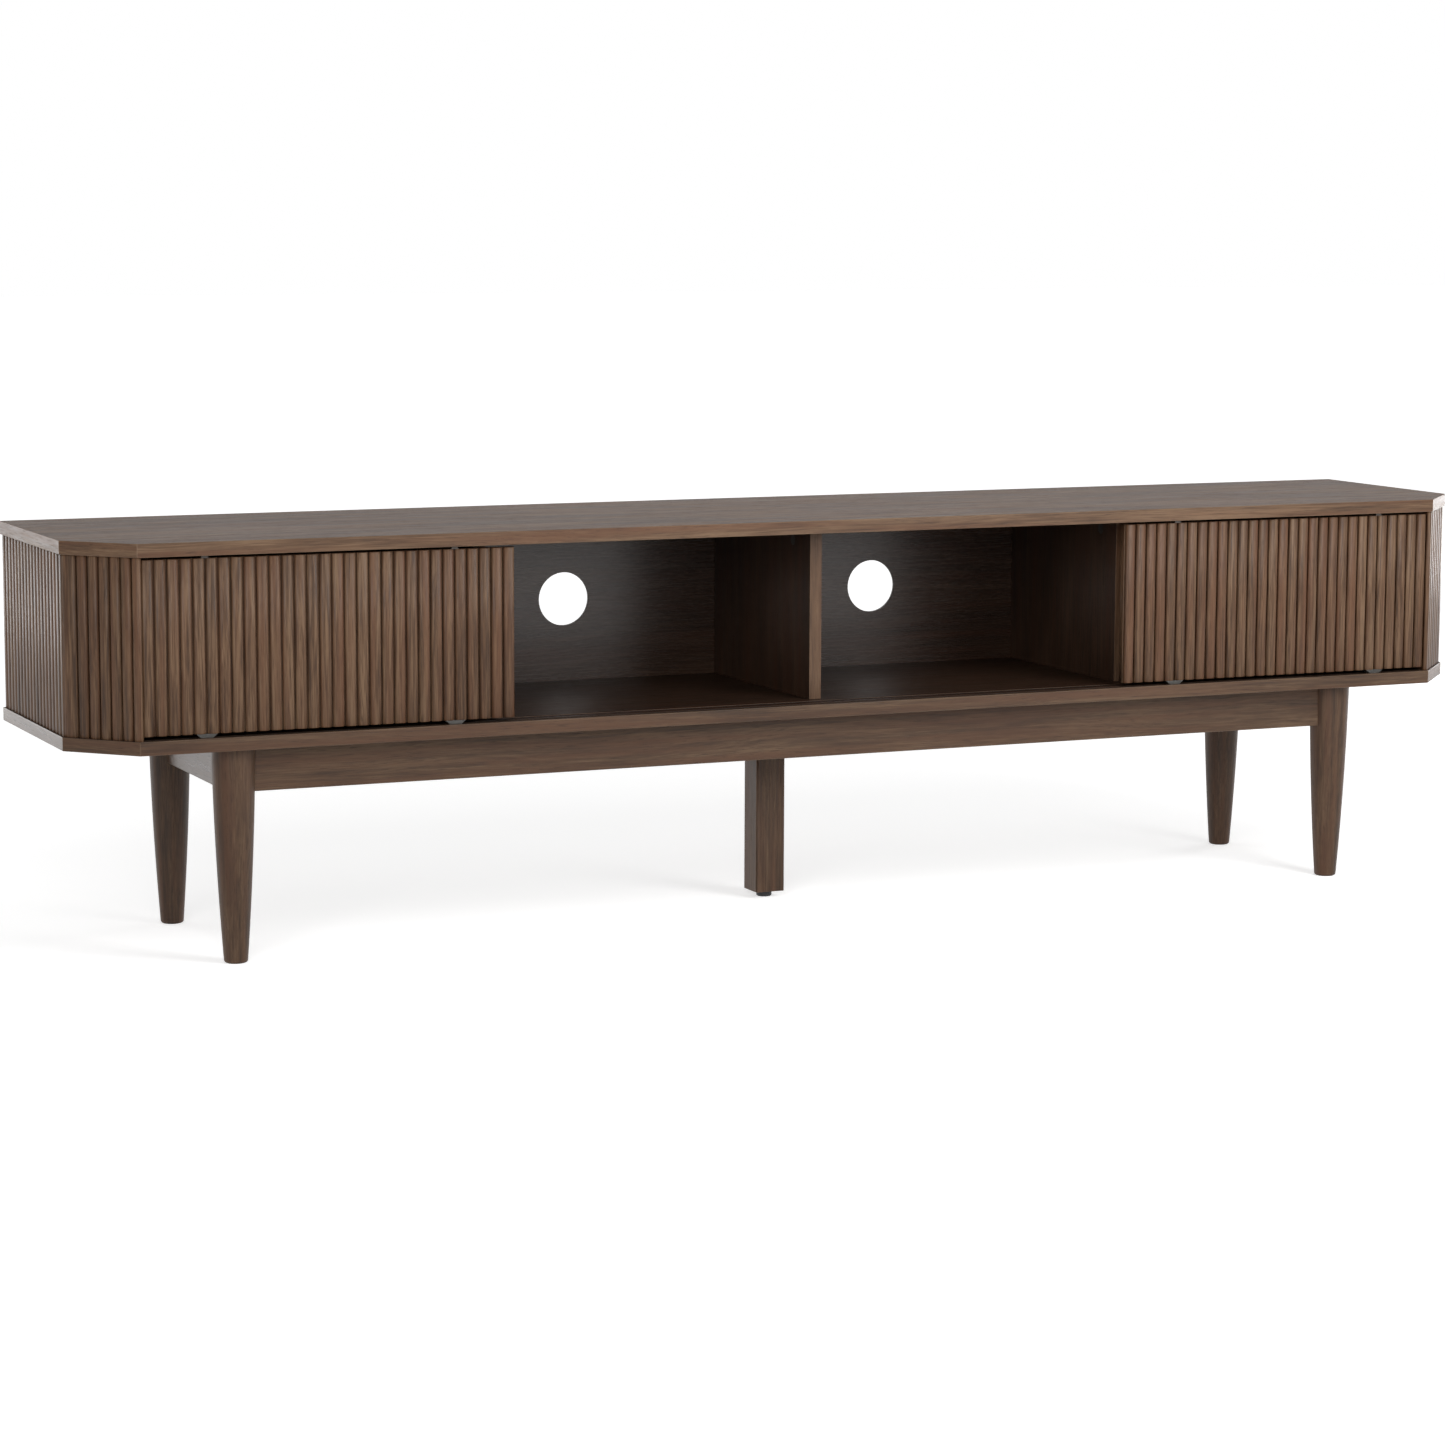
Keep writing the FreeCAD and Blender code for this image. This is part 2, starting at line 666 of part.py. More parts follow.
def make_end():
    """The right end: a backing board and the strips on it, mitred to the corner panel."""
    outline = [
        mitre_point(END_MIDDLE_X, MIDDLE_LINE),
        (END_MIDDLE_X, CLAD_BACK),
        (END_INNER_X, CLAD_BACK),
        mitre_point(END_INNER_X, INNER_LINE),
    ]
    body = board("right_end_board", FLOOR_TOP, outline, INNER_HEIGHT)
    groove_end = f"({END_INNER_X} + {size('back_groove_depth')})"
    groove = rectangle(END_INNER_X, groove_end, BACK_GROOVE_FRONT, BACK_GROOVE_REAR)
    pocket_down(body, "right_end_groove", [groove], INNER_HEIGHT, INNER_HEIGHT)
    holes = upright_holes("right_end", END_X, size("backing_thick"), -1)
    node("right_end_backing", drilled("right_end_drilled", body, holes))

    layer = board("right_end_layer", FLOOR_TOP, [
        mitre_point(END_OUTER_X, OUTER_LINE),
        (END_OUTER_X, CLAD_BACK),
        (END_MIDDLE_X, CLAD_BACK),
        mitre_point(END_MIDDLE_X, MIDDLE_LINE),
    ], INNER_HEIGHT)
    mitre_y = cut_line_y(END_OUTER_X, OUTER_LINE)
    span = f"({CLAD_BACK} - {mitre_y})"
    pitch = size("strip_pitch")
    count = f"max(1; floor(({span} - {size('strip_least')}) / {pitch}))"
    row_start = f"({CLAD_BACK} - {count} * {pitch})"
    strips = turned_body("right_end_strips", (END_MIDDLE_X, "0", FLOOR_TOP), "90")
    # the front strip starts well past the mitre, which trims it
    front_low = f"({mitre_y} - {pitch})"
    front_high = f"({row_start} - {size('strip_gap')} / 2)"
    pad(strips, "right_end_front_strip",
        strip_outline(front_low, f"({front_high} - {front_low})"), INNER_HEIGHT)
    strip_row(strips, "right_end", row_start, pitch, count, INNER_HEIGHT)
    node("right_end_slats", common("right_end_clad", strips, layer))


def make_corner():
    """The right corner panel: a flat front end, strips, and a backing board behind them."""
    body = board("right_corner_board", FLOOR_TOP, [
        (POST_X, cut_line_y(POST_X, MIDDLE_LINE)),
        mitre_point(END_MIDDLE_X, MIDDLE_LINE),
        mitre_point(END_INNER_X, INNER_LINE),
        (POST_X, cut_line_y(POST_X, INNER_LINE)),
    ], INNER_HEIGHT)
    x, y = corner_dowel_places()[0]
    holes = [
        rod("right_corner_dowel_low", (x, y, FLOOR_TOP), "+Z", DOWEL_HOLE, UPRIGHT_DOWEL_DEPTH),
        rod("right_corner_dowel_high", (x, y, CEILING), "-Z", DOWEL_HOLE, UPRIGHT_DOWEL_DEPTH),
    ]
    node("right_corner_backing", drilled("right_corner_drilled", body, holes))

    layer = board("right_corner_layer", FLOOR_TOP, [
        (cut_line_x(POST_Y, OUTER_LINE), POST_Y),
        mitre_point(END_OUTER_X, OUTER_LINE),
        mitre_point(END_MIDDLE_X, MIDDLE_LINE),
        (POST_X, cut_line_y(POST_X, MIDDLE_LINE)),
        (POST_X, POST_Y),
    ], INNER_HEIGHT)
    # along the panel, measured from the point beside the front end of the cut
    corner_x = f"({HALF_WIDTH} - {size('corner_cut_width')})"
    base = (f"({corner_x} - {CUT_SIN} * {MIDDLE_LINE})", f"({FRONT} + {CUT_COS} * {MIDDLE_LINE})",
            FLOOR_TOP)
    face_shift = f"({base[0]} + {CUT_SIN} * {size('strip_thick')})"
    front_end = f"(({cut_line_x(POST_Y, OUTER_LINE)} - {face_shift}) / {CUT_COS})"
    mitre_end = f"(({END_OUTER_X} - {face_shift}) / {CUT_COS})"
    rest = f"({mitre_end} - {size('corner_wide_strip')} - {front_end})"
    share = size("corner_last_share")
    count = f"max(1; round({rest} / {size('strip_pitch')} + 1 - {share}))"
    pitch = f"({rest} / ({count} - 1 + {share}))"
    row_end = f"({mitre_end} - {size('corner_wide_strip')})"
    row_start = f"({row_end} - {count} * {pitch})"
    strips = turned_body("right_corner_strips", base,
                         f"atan({size('corner_cut_depth')} / {size('corner_cut_width')})")
    # the wide strip runs well past the mitre, which trims it
    wide_low = f"({row_end} + {size('strip_gap')} / 2)"
    wide_high = f"({mitre_end} + {size('strip_pitch')})"
    pad(strips, "right_corner_wide_strip",
        strip_outline(wide_low, f"({wide_high} - {wide_low})"), INNER_HEIGHT)
    strip_row(strips, "right_corner", row_start, pitch, count, INNER_HEIGHT)
    node("right_corner_slats", common("right_corner_clad", strips, layer))


def make_uprights():
    for label, x, thick, facing in UPRIGHTS:
        if label in ("centre_divider", "right_partition"):
            make_upright(label, x, thick, facing)
    mirrored("left_partition", NODES["right_partition"])
    make_end()
    make_corner()
    for piece in ("end_backing", "end_slats", "corner_backing", "corner_slats"):
        mirrored(f"left_{piece}", NODES[f"right_{piece}"])


def make_back_panels():
    """Two thin panels that meet behind the divider, each with the cable hole of its bay."""
    low = f"({FLOOR_TOP} - {BACK_REACH})"
    height = f"({INNER_HEIGHT} + 2 * {BACK_REACH})"
    outline = rectangle(f"({size('back_split_gap')} / 2)", f"({END_INNER_X} + {BACK_REACH})",
                        BACK_INNER, BACK_OUTER)
    body = board("back_panel_board", low, outline, height)
    bay_middle = f"({PARTITION_X} / 2)"
    holes = [rod("cable_hole", (bay_middle, BACK_OUTER, f"(({FLOOR_TOP} + {CEILING}) / 2)"), "-Y",
                 size("cable_hole_radius"), size("back_thick"))]
    places = [place for place in back_screw_places("centre_divider") if "(-" not in place[0][:2]]
    places += back_screw_places("right_partition")
    for index, (x, z) in enumerate(places):
        holes.append(back_screw(screw_hole, f"back_panel_hole_{index}", x, z))
    node("back_panel_right", drilled("back_panel_drilled", body, holes))
    mirrored("back_panel_left", NODES["back_panel_right"])


# ---- connectors of the case -----------------------------------------------------------------

def make_dowels():
    pieces = []
    length = size("dowel_length")
    depth = size("dowel_panel_depth")
    for index, (x, y) in enumerate(dowel_places()):
        pieces.append(rod(f"dowel_low_{index}", (x, y, f"({FLOOR_TOP} - {depth})"), "+Z",
                          size("dowel_radius"), length))
        pieces.append(rod(f"dowel_high_{index}", (x, y, f"({CEILING} + {depth})"), "-Z",
                          size("dowel_radius"), length))
    node("carcass_dowels", group("carcass_dowel_set", pieces))


def make_cams():
    """Cam locks with a slot for the bolt, the caps that hide them, and the bolts."""
    locks, caps, bolts = [], [], []
    cap = size("cam_cap_thick")
    slot_half = CAM_BOLT_HOLE
    for label, x, thick, facing in UPRIGHTS:
        face = cam_face(x, thick, facing)
        turn = inwards(facing)
        for row, y in enumerate(CAM_ROWS):
            tag = f"{label}_{row}"
            caps.append(rod(f"cam_cap_{tag}", (face, y, CAM_Z), turn, size("cam_radius"), cap))
            disc = rod(f"cam_disc_{tag}", shifted((face, y, CAM_Z), turn, cap), turn,
                       size("cam_radius"), f"({size('cam_depth')} - {cap})")
            low = (f"({x} - {slot_half})", f"({y} - {slot_half})",
                   f"({CAM_Z} - {size('cam_bolt_overlap')} - {size('hole_clearance')})")
            slot = block(f"cam_slot_{tag}", low, (f"2 * {slot_half}", f"2 * {slot_half}",
                                                  f"2 * {size('cam_radius')}"))
            locks.append(cut(f"cam_lock_{tag}", disc, slot))
            shank = rod(f"cam_bolt_shank_{tag}", (x, y, CEILING), "-Z", size("cam_bolt_radius"),
                        f"({size('cam_drop')} + {size('cam_bolt_overlap')})")
            thread = rod(f"cam_bolt_thread_{tag}", (x, y, CEILING), "+Z",
                         size("cam_thread_radius"), size("cam_thread_length"))
            bolts.append(fuse(f"cam_bolt_{tag}", [shank, thread]))
    node("cam_locks", group("cam_lock_set", locks))
    node("cam_caps", group("cam_cap_set", caps))
    node("cam_bolts", group("cam_bolt_set", bolts))


def make_case_screws():
    bottom = [carcass_screw(screw, f"bottom_screw_{index}", x, y)
              for index, (x, y) in enumerate(cam_places())]
    node("bottom_screws", group("bottom_screw_set", bottom))
    places = [place for label in BACK_SCREW_X for place in back_screw_places(label)]
    back = [back_screw(screw, f"back_screw_{index}", x, z)
            for index, (x, z) in enumerate(places)]
    node("back_panel_screws", group("back_screw_set", back))


# ---- doors ----------------------------------------------------------------------------------

def glide_places():
    reach = f"({size('door_width')} / 2 - {size('glide_from_edge')})"
    return [f"({DOOR_CENTRE_X} + ({side}) * {reach})" for side in DOOR_GLIDE_SIDES]


KEEL_WIDTH = f"({size('track_width')} - 2 * {size('glide_clearance')})"
KEEL_FRONT = f"({TRACK_Y} - {KEEL_WIDTH} / 2)"
GLIDE_BACK = f"({PEG_Y} + {size('glide_peg_radius')})"


def glide(name, x, foot_z, door_z, keel_z, peg_turn, length, keel_length):
    """A slider: a tapered block under or over the door, a keel in the track and a peg."""
    wide = f"{length} / 2"
    narrow = f"{keel_length} / 2"
    body = doc.addObject("PartDesign::Body", f"{name}_block")
    body.setExpression("Placement.Base.y", GLIDE_BACK)
    sketch = new_sketch(body, f"{name}_outline", "XZ_Plane")
    draw_outline(sketch, [
        (f"({x} - {narrow})", foot_z),
        (f"({x} + {narrow})", foot_z),
        (f"({x} + {wide})", door_z),
        (f"({x} - {wide})", door_z),
    ])
    feature = body.newObject("PartDesign::Pad", f"{name}_pad")
    feature.Profile = sketch
    feature.setExpression("Length", f"{GLIDE_BACK} - {KEEL_FRONT}")
    low_z, high_z = (keel_z, foot_z) if peg_turn == "+Z" else (foot_z, keel_z)
    keel = block(f"{name}_keel", (f"({x} - {narrow})", KEEL_FRONT, low_z),
                 (keel_length, KEEL_WIDTH, f"({high_z} - {low_z})"))
    peg = rod(f"{name}_peg", (x, PEG_Y, door_z), peg_turn, size("glide_peg_radius"),
              size("glide_peg_length"))
    return fuse(name, [body, keel, peg])


def make_door():
    low_x = f"({DOOR_CENTRE_X} - {size('door_width')} / 2)"
    high_x = f"({DOOR_CENTRE_X} + {size('door_width')} / 2)"
    body = board("right_door_board", DOOR_BOTTOM,
                 rectangle(low_x, high_x, DOOR_BACKING_FRONT, DOOR_BACK), DOOR_HEIGHT)
    peg_hole = f"({size('glide_peg_radius')} + {size('hole_clearance')})"
    peg_depth = f"({size('glide_peg_length')} + {size('hole_clearance')})"
    holes, bottom, top = [], [], []
    foot_z = f"({FLOOR_TOP} + {size('glide_clearance')})"
    keel_z = f"({FLOOR_TOP} - {size('track_depth')} + {size('glide_clearance')})"
    head_z = f"({CEILING} - {size('glide_clearance')})"
    tip_z = f"({CEILING} + {size('track_depth')} - {size('guide_lift')})"
    for index, x in enumerate(glide_places()):
        holes.append(rod(f"door_peg_low_{index}", (x, PEG_Y, DOOR_BOTTOM), "+Z",
                         peg_hole, peg_depth))
        holes.append(rod(f"door_peg_high_{index}", (x, PEG_Y, DOOR_TOP), "-Z",
                         peg_hole, peg_depth))
        bottom.append(glide(f"bottom_glide_{index}", x, foot_z, DOOR_BOTTOM, keel_z, "+Z",
                            size("glide_length"), size("glide_foot_length")))
        top.append(glide(f"top_guide_{index}", x, head_z, DOOR_TOP, tip_z, "-Z",
                         size("guide_length"), size("guide_tip_length")))
    node("right_door_backing", drilled("right_door_drilled", body, holes))
    node("right_door_bottom_glides", group("right_bottom_glide_set", bottom))
    node("right_door_top_guides", group("right_top_guide_set", top))

    strips = doc.addObject("PartDesign::Body", "right_door_strips")
    place(strips, ("0", DOOR_BACKING_FRONT, DOOR_BOTTOM))
    count = f"max(1; round({size('door_width')} / {size('strip_pitch')}))"
    strip_row(strips, "right_door", low_x, f"({size('door_width')} / {count})", count,
              DOOR_HEIGHT)
    node("right_door_slats", strips)
    for piece in ("backing", "slats", "bottom_glides", "top_guides"):
        mirrored(f"left_door_{piece}", NODES[f"right_door_{piece}"])


# ---- leg frame ------------------------------------------------------------------------------

HALF_RAIL = f"{size('rail_thick')} / 2"
RAIL_END_X = f"({LEG_X} - {size('rail_end_from_axis')})"
RAIL_END_Y = f"({LEG_Y} - {size('rail_end_from_axis')})"
CENTRE_RAIL_END = f"({LEG_Y} - {HALF_RAIL})"
FRAME_DOWEL_ROWS = [f"({RAIL_MIDDLE} + ({side}) * {size('frame_dowel_spacing')} / 2)"
                    for side in (-1, 1)]
FRAME_DOWEL_TIP = size("frame_dowel_tip_from_axis")
CENTRE_DOWEL_TIP = f"({LEG_Y} + {size('centre_dowel_past_axis')})"


def frame_screw_places():
    """Screws up through the rails: four along each long rail, one or two along the others."""
    outer = f"({RAIL_END_X} - {size('frame_screw_from_end')})"
    inner = size("frame_screw_from_middle")
    places = []
    for y in (f"(-{LEG_Y})", LEG_Y):
        for distance in (outer, inner):
            for side in (-1, 1):
                places.append((f"({side} * {distance})", y))
    places += [(f"(-{LEG_X})", "0"), (LEG_X, "0")]
    gap = f"({size('centre_leg_side')} / 2 + {size('frame_screw_from_leg')})"
    places += [("0", f"({CENTRE_LEG_Y} - {gap})"), ("0", f"({CENTRE_LEG_Y} + {gap})")]
    return places


def frame_screw(make, name, x, y):
    bore = size("frame_screw_bore_depth")
    seat = f"({RAIL_BOTTOM} + {bore} - {size('screw_head_height')})"
    length = (f"({size('rail_height')} - {bore} + {size('screw_head_height')}"
              f" + {size('frame_screw_grip')})")
    return make(name, (x, y, seat), "+Z", size("screw_radius"), size("screw_head_radius"),
                size("screw_head_height"), length)


def frame_screw_holes(label, places):
    """The screws' holes and the wide bores that their heads go up."""
    holes = []
    for index, (x, y) in enumerate(places):
        holes.append(frame_screw(screw_hole, f"{label}_screw_{index}", x, y))
        holes.append(rod(f"{label}_bore_{index}", (x, y, RAIL_BOTTOM), "+Z",
                         f"({size('screw_head_radius')} + {size('hole_clearance')})",
                         f"({size('frame_screw_bore_depth')} - {size('screw_head_height')})"))
    return holes


def leg_joint_dowels():
    """Place and direction, away from the leg, of each dowel between a leg and a rail."""
    dowels = []
    for z in FRAME_DOWEL_ROWS:
        for side_x in (-1, 1):
            for side_y in (-1, 1):
                leg_x = f"({side_x} * {LEG_X})"
                leg_y = f"({side_y} * {LEG_Y})"
                along_x = "+X" if side_x < 0 else "-X"
                along_y = "+Y" if side_y < 0 else "-Y"
                for turn in (along_x, along_y):
                    start = shifted((leg_x, leg_y, z), turn, FRAME_DOWEL_TIP)
                    dowels.append((start, turn))
    return dowels


def centre_joint_dowels():
    """The same between the centre rail and the two long rails."""
    dowels = []
    for z in FRAME_DOWEL_ROWS:
        dowels.append((("0", f"(-{CENTRE_DOWEL_TIP})", z), "+Y"))
        dowels.append((("0", CENTRE_DOWEL_TIP, z), "-Y"))
    return dowels


def dowel_bores(label, dowels):
    return [rod(f"{label}_dowel_{index}", at, turn, DOWEL_HOLE, size("frame_dowel_length"))
            for index, (at, turn) in enumerate(dowels)]


def make_rails():
    height = size("rail_height")
    every_dowel = leg_joint_dowels() + centre_joint_dowels()
    places = frame_screw_places()
    long_low = f"(-{RAIL_END_X})"
    runs = {
        "front_rail": (long_low, RAIL_END_X, f"(-{LEG_Y} - {HALF_RAIL})",
                       f"(-{LEG_Y} + {HALF_RAIL})"),
        "back_rail": (long_low, RAIL_END_X, f"({LEG_Y} - {HALF_RAIL})", f"({LEG_Y} + {HALF_RAIL})"),
        "left_side_rail": (f"(-{LEG_X} - {HALF_RAIL})", f"(-{LEG_X} + {HALF_RAIL})",
                           f"(-{RAIL_END_Y})", RAIL_END_Y),
        "right_side_rail": (f"({LEG_X} - {HALF_RAIL})", f"({LEG_X} + {HALF_RAIL})",
                            f"(-{RAIL_END_Y})", RAIL_END_Y),
        "centre_rail": (f"(-{HALF_RAIL})", f"({HALF_RAIL})", f"(-{CENTRE_RAIL_END})",
                        CENTRE_RAIL_END),
    }
    for label, (x_low, x_high, y_low, y_high) in runs.items():
        body = board(f"{label}_board", RAIL_BOTTOM, rectangle(x_low, x_high, y_low, y_high),
                     height)
        inside = [place for place in places
                  if value(x_low) < value(place[0]) < value(x_high)
                  and value(y_low) < value(place[1]) < value(y_high)]
        holes = dowel_bores(label, every_dowel) + frame_screw_holes(label, inside)
        if label == "centre_rail":
            holes += [centre_leg_screw(screw_hole, f"centre_rail_leg_hole_{index}", z)
                      for index, z in enumerate(FRAME_DOWEL_ROWS)]
        node(label, drilled(f"{label}_drilled", body, holes))


def centre_leg_screw(make, name, z):
    """A screw, or its hole, through the centre leg's left cheek into the centre rail."""
    return make(name, (f"(-{size('centre_leg_side')} / 2)", CENTRE_LEG_Y, z), "+X",
                size("screw_radius"), size("screw_head_radius"), size("screw_head_height"),
                size("leg_screw_length"))


def leg_profile():
    """Half of a round leg's lengthwise section: rounded rim, swelling gently to the top."""
    foot = size("leg_foot_radius")
    rim = size("leg_foot_round")
    length = size("under_height")
    # the middle of a quarter circle lies 1 - cos 45 degrees of its radius in from the corner
    inset = f"({rim} * (1 - cos(45)))"
    return [
        ("0", "0"),
        (f"({foot} - {rim})", "0", (f"({foot} - {inset})", inset)),
        (foot, rim, (size("leg_mid_radius"), f"(({length} + {rim}) / 2)")),
        (size("leg_top_radius"), length),
        ("0", length),
    ]


def make_leg(label, side_x, side_y, dowels):
    """A turned leg with a housing for each of the two rails that meet in it."""
    body = doc.addObject("PartDesign::Body", f"{label}_turned")
    profile = new_sketch(body, f"{label}_profile", "XZ_Plane")
    draw_outline(profile, leg_profile())
    turning = body.newObject("PartDesign::Revolution", f"{label}_turning")
    turning.Profile = profile
    turning.ReferenceAxis = (profile, ["V_Axis"])
    turning.Angle = 360
    place(body, (f"({side_x} * {LEG_X})", f"({side_y} * {LEG_Y})", "0"))
    end = size("rail_end_from_axis")
    reach = size("leg_top_radius")
    along_x = sorted_pair(f"({-side_x} * {end})", f"({-side_x} * {reach})")
    along_y = sorted_pair(f"({-side_y} * {end})", f"({-side_y} * {reach})")
    half = f"({HALF_RAIL})"
    housings = [rectangle(*along_x, f"(-{half})", half), rectangle(f"(-{half})", half, *along_y)]
    pocket_down(body, f"{label}_housings", housings, size("rail_height"), size("under_height"))
    return node(label, drilled(f"{label}_drilled", body, dowel_bores(label, dowels)))


def sorted_pair(one, other):
    return (one, other) if value(one) < value(other) else (other, one)


def make_legs():
    for front, side_y in (("front", -1), ("back", 1)):
        for hand, side_x in (("left", -1), ("right", 1)):
            leg_x = f"({side_x} * {LEG_X})"
            leg_y = f"({side_y} * {LEG_Y})"
            own = [(at, turn) for at, turn in leg_joint_dowels()
                   if leg_x in at[0] and leg_y in at[1]]
            make_leg(f"{front}_{hand}_leg", side_x, side_y, own)


def make_centre_leg():
    """A square leg, slotted over the centre rail, with a bore for the adjustable foot."""
    half = f"({size('centre_leg_side')} / 2)"
    inner = f"({half} - {size('centre_leg_edge')})"
    y = CENTRE_LEG_Y
    outline = [
        (f"(-{inner})", f"({y} - {half})"), (inner, f"({y} - {half})"),
        (half, f"({y} - {inner})"), (half, f"({y} + {inner})"),
        (inner, f"({y} + {half})"), (f"(-{inner})", f"({y} + {half})"),
        (f"(-{half})", f"({y} + {inner})"), (f"(-{half})", f"({y} - {inner})"),
    ]
    length = f"({size('under_height')} - {size('centre_leg_bottom')})"
    body = board("centre_leg_board", size("centre_leg_bottom"), outline, length)
    slot = rectangle(f"(-{HALF_RAIL})", f"({HALF_RAIL})", f"({y} - {half})", f"({y} + {half})")
    pocket_down(body, "centre_leg_slot", [slot], size("rail_height"), length)
    foot = ("0", y, size("centre_leg_bottom"))
    holes = [
        rod("centre_leg_insert_bore", foot, "+Z",
            f"({size('foot_insert_radius')} + {size('hole_clearance')})",
            f"({size('foot_insert_length')} + {size('hole_clearance')})"),
        rod("centre_leg_stud_bore", foot, "+Z",
            f"({size('foot_insert_bore')} + {size('hole_clearance')})",
            f"({size('foot_stud_length')} + {size('foot_stud_room')})"),
    ]
    holes += [centre_leg_screw(screw_hole, f"centre_leg_screw_hole_{index}", z)
              for index, z in enumerate(FRAME_DOWEL_ROWS)]
    node("centre_leg", drilled("centre_leg_drilled", body, holes))
    screws = [centre_leg_screw(screw, f"centre_leg_screw_{index}", z)
              for index, z in enumerate(FRAME_DOWEL_ROWS)]
    node("centre_leg_screws", group("centre_leg_screw_set", screws))


def make_frame_fasteners():
    dowels = [rod(f"frame_dowel_{index}", at, turn, size("dowel_radius"),
                  size("frame_dowel_length"))
              for index, (at, turn) in enumerate(leg_joint_dowels() + centre_joint_dowels())]
    node("frame_dowels", group("frame_dowel_set", dowels))
    screws = [frame_screw(screw, f"frame_screw_{index}", x, y)
              for index, (x, y) in enumerate(frame_screw_places())]
    node("frame_screws", group("frame_screw_set", screws))


def make_foot():
    """The adjustable foot: a threaded sleeve in the leg, a stud in it and a pad under it."""
    y = CENTRE_LEG_Y
    at = ("0", y, size("centre_leg_bottom"))
    sleeve = rod("foot_sleeve", at, "+Z", size("foot_insert_radius"), size("foot_insert_length"))
    bore = rod("foot_sleeve_bore", at, "+Z", size("foot_insert_bore"), size("foot_insert_length"))
    node("centre_foot_insert", cut("foot_sleeve_bored", sleeve, bore))
    seat = f"({size('foot_pad_floor')} + {size('glide_clearance')})"
    node("centre_foot_stud", rod("foot_stud", ("0", y, seat), "+Z", size("foot_stud_radius"),
                                 size("foot_stud_length")))
    body = doc.addObject("PartDesign::Body", "foot_pad_turned")
    profile = new_sketch(body, "foot_pad_profile", "XZ_Plane")
    radius = size("foot_pad_radius")
    chamfer = size("foot_pad_chamfer")
    height = size("foot_pad_height")
    floor = size("foot_pad_floor")
    draw_outline(profile, [
        ("0", "0"), (f"({radius} - {chamfer})", "0"), (radius, chamfer),
        (radius, f"({height} - {chamfer})"), (f"({radius} - {chamfer})", height),
        (size("foot_insert_bore"), height), (size("foot_insert_bore"), floor), ("0", floor),
    ])
    turning = body.newObject("PartDesign::Revolution", "foot_pad_turning")
    turning.Profile = profile
    turning.ReferenceAxis = (profile, ["V_Axis"])
    turning.Angle = 360
    place(body, ("0", y, "0"))
    node("centre_foot_pad", body)


# ---- build, check and write -----------------------------------------------------------------

make_top_panel()
make_bottom_panel()
make_uprights()
make_back_panels()
make_dowels()
make_cams()
make_case_screws()
make_door()
make_rails()
make_legs()
make_centre_leg()
make_frame_fasteners()
make_foot()
doc.recompute()

for item in doc.Objects:
    faults = [state for state in item.State if state in ("Invalid", "Error")]
    if faults:
        raise RuntimeError(f"{item.Name} failed: {faults}")

for label, feature in NODES.items():
    if feature.Shape.isNull() or not feature.Shape.isValid():
        raise RuntimeError(f"{label} has no valid shape")

os.makedirs("parts", exist_ok=True)
for label, feature in NODES.items():
    feature.Shape.exportStep(f"parts/{label}.step")
    print(label, len(feature.Shape.Solids), round(feature.Shape.Volume))
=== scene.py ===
import json
import math
import random

import bmesh
import bpy
from mathutils import Matrix, Vector

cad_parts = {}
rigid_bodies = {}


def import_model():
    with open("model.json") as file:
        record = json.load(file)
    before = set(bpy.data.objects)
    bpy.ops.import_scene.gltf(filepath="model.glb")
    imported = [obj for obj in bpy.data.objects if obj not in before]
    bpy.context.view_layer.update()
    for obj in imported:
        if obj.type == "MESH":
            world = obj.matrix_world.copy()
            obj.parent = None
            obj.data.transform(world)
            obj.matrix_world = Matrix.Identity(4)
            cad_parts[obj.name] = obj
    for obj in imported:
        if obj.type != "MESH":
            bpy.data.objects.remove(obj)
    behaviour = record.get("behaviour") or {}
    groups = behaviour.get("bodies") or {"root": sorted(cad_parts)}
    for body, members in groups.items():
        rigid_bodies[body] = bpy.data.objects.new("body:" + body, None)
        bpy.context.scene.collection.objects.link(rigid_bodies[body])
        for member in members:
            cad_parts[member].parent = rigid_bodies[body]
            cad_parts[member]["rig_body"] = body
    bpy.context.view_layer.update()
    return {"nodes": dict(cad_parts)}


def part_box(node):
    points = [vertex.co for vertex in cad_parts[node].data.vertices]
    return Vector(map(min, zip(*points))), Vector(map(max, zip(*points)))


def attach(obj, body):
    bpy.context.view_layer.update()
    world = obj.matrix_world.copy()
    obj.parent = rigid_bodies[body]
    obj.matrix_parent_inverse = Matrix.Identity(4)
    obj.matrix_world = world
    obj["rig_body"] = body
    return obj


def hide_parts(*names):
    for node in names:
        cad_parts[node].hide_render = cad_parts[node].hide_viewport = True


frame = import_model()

# Media cabinet in walnut-stained wood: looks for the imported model. Metres, in the row frame.

NODES = frame["nodes"]


# ---- node helpers --------------------------------------------------------------------------

def srgb(red, green, blue):
    """A colour written as 0-255 display values, as the linear one a shader takes."""
    def linear(level):
        level /= 255
        return level / 12.92 if level <= 0.04045 else ((level + 0.055) / 1.055) ** 2.4
    return (linear(red), linear(green), linear(blue), 1.0)


def add(tree, kind, inputs=None, **settings):
    """A shader node; an input is a socket to link or a plain value."""
    made = tree.nodes.new(kind)
    for name, setting in settings.items():
        setattr(made, name, setting)
    for key, given in (inputs or {}).items():
        if isinstance(given, bpy.types.NodeSocket):
            tree.links.new(given, made.inputs[key])
        else:
            made.inputs[key].default_value = given
    return made


def math_of(tree, operation, *values, clamp=False):
    made = add(tree, "ShaderNodeMath", dict(enumerate(values)), operation=operation,
               use_clamp=clamp)
    return made.outputs[0]


def scaled(tree, vector, factors):
    return add(tree, "ShaderNodeVectorMath", {0: vector, 1: factors},
               operation="MULTIPLY").outputs[0]


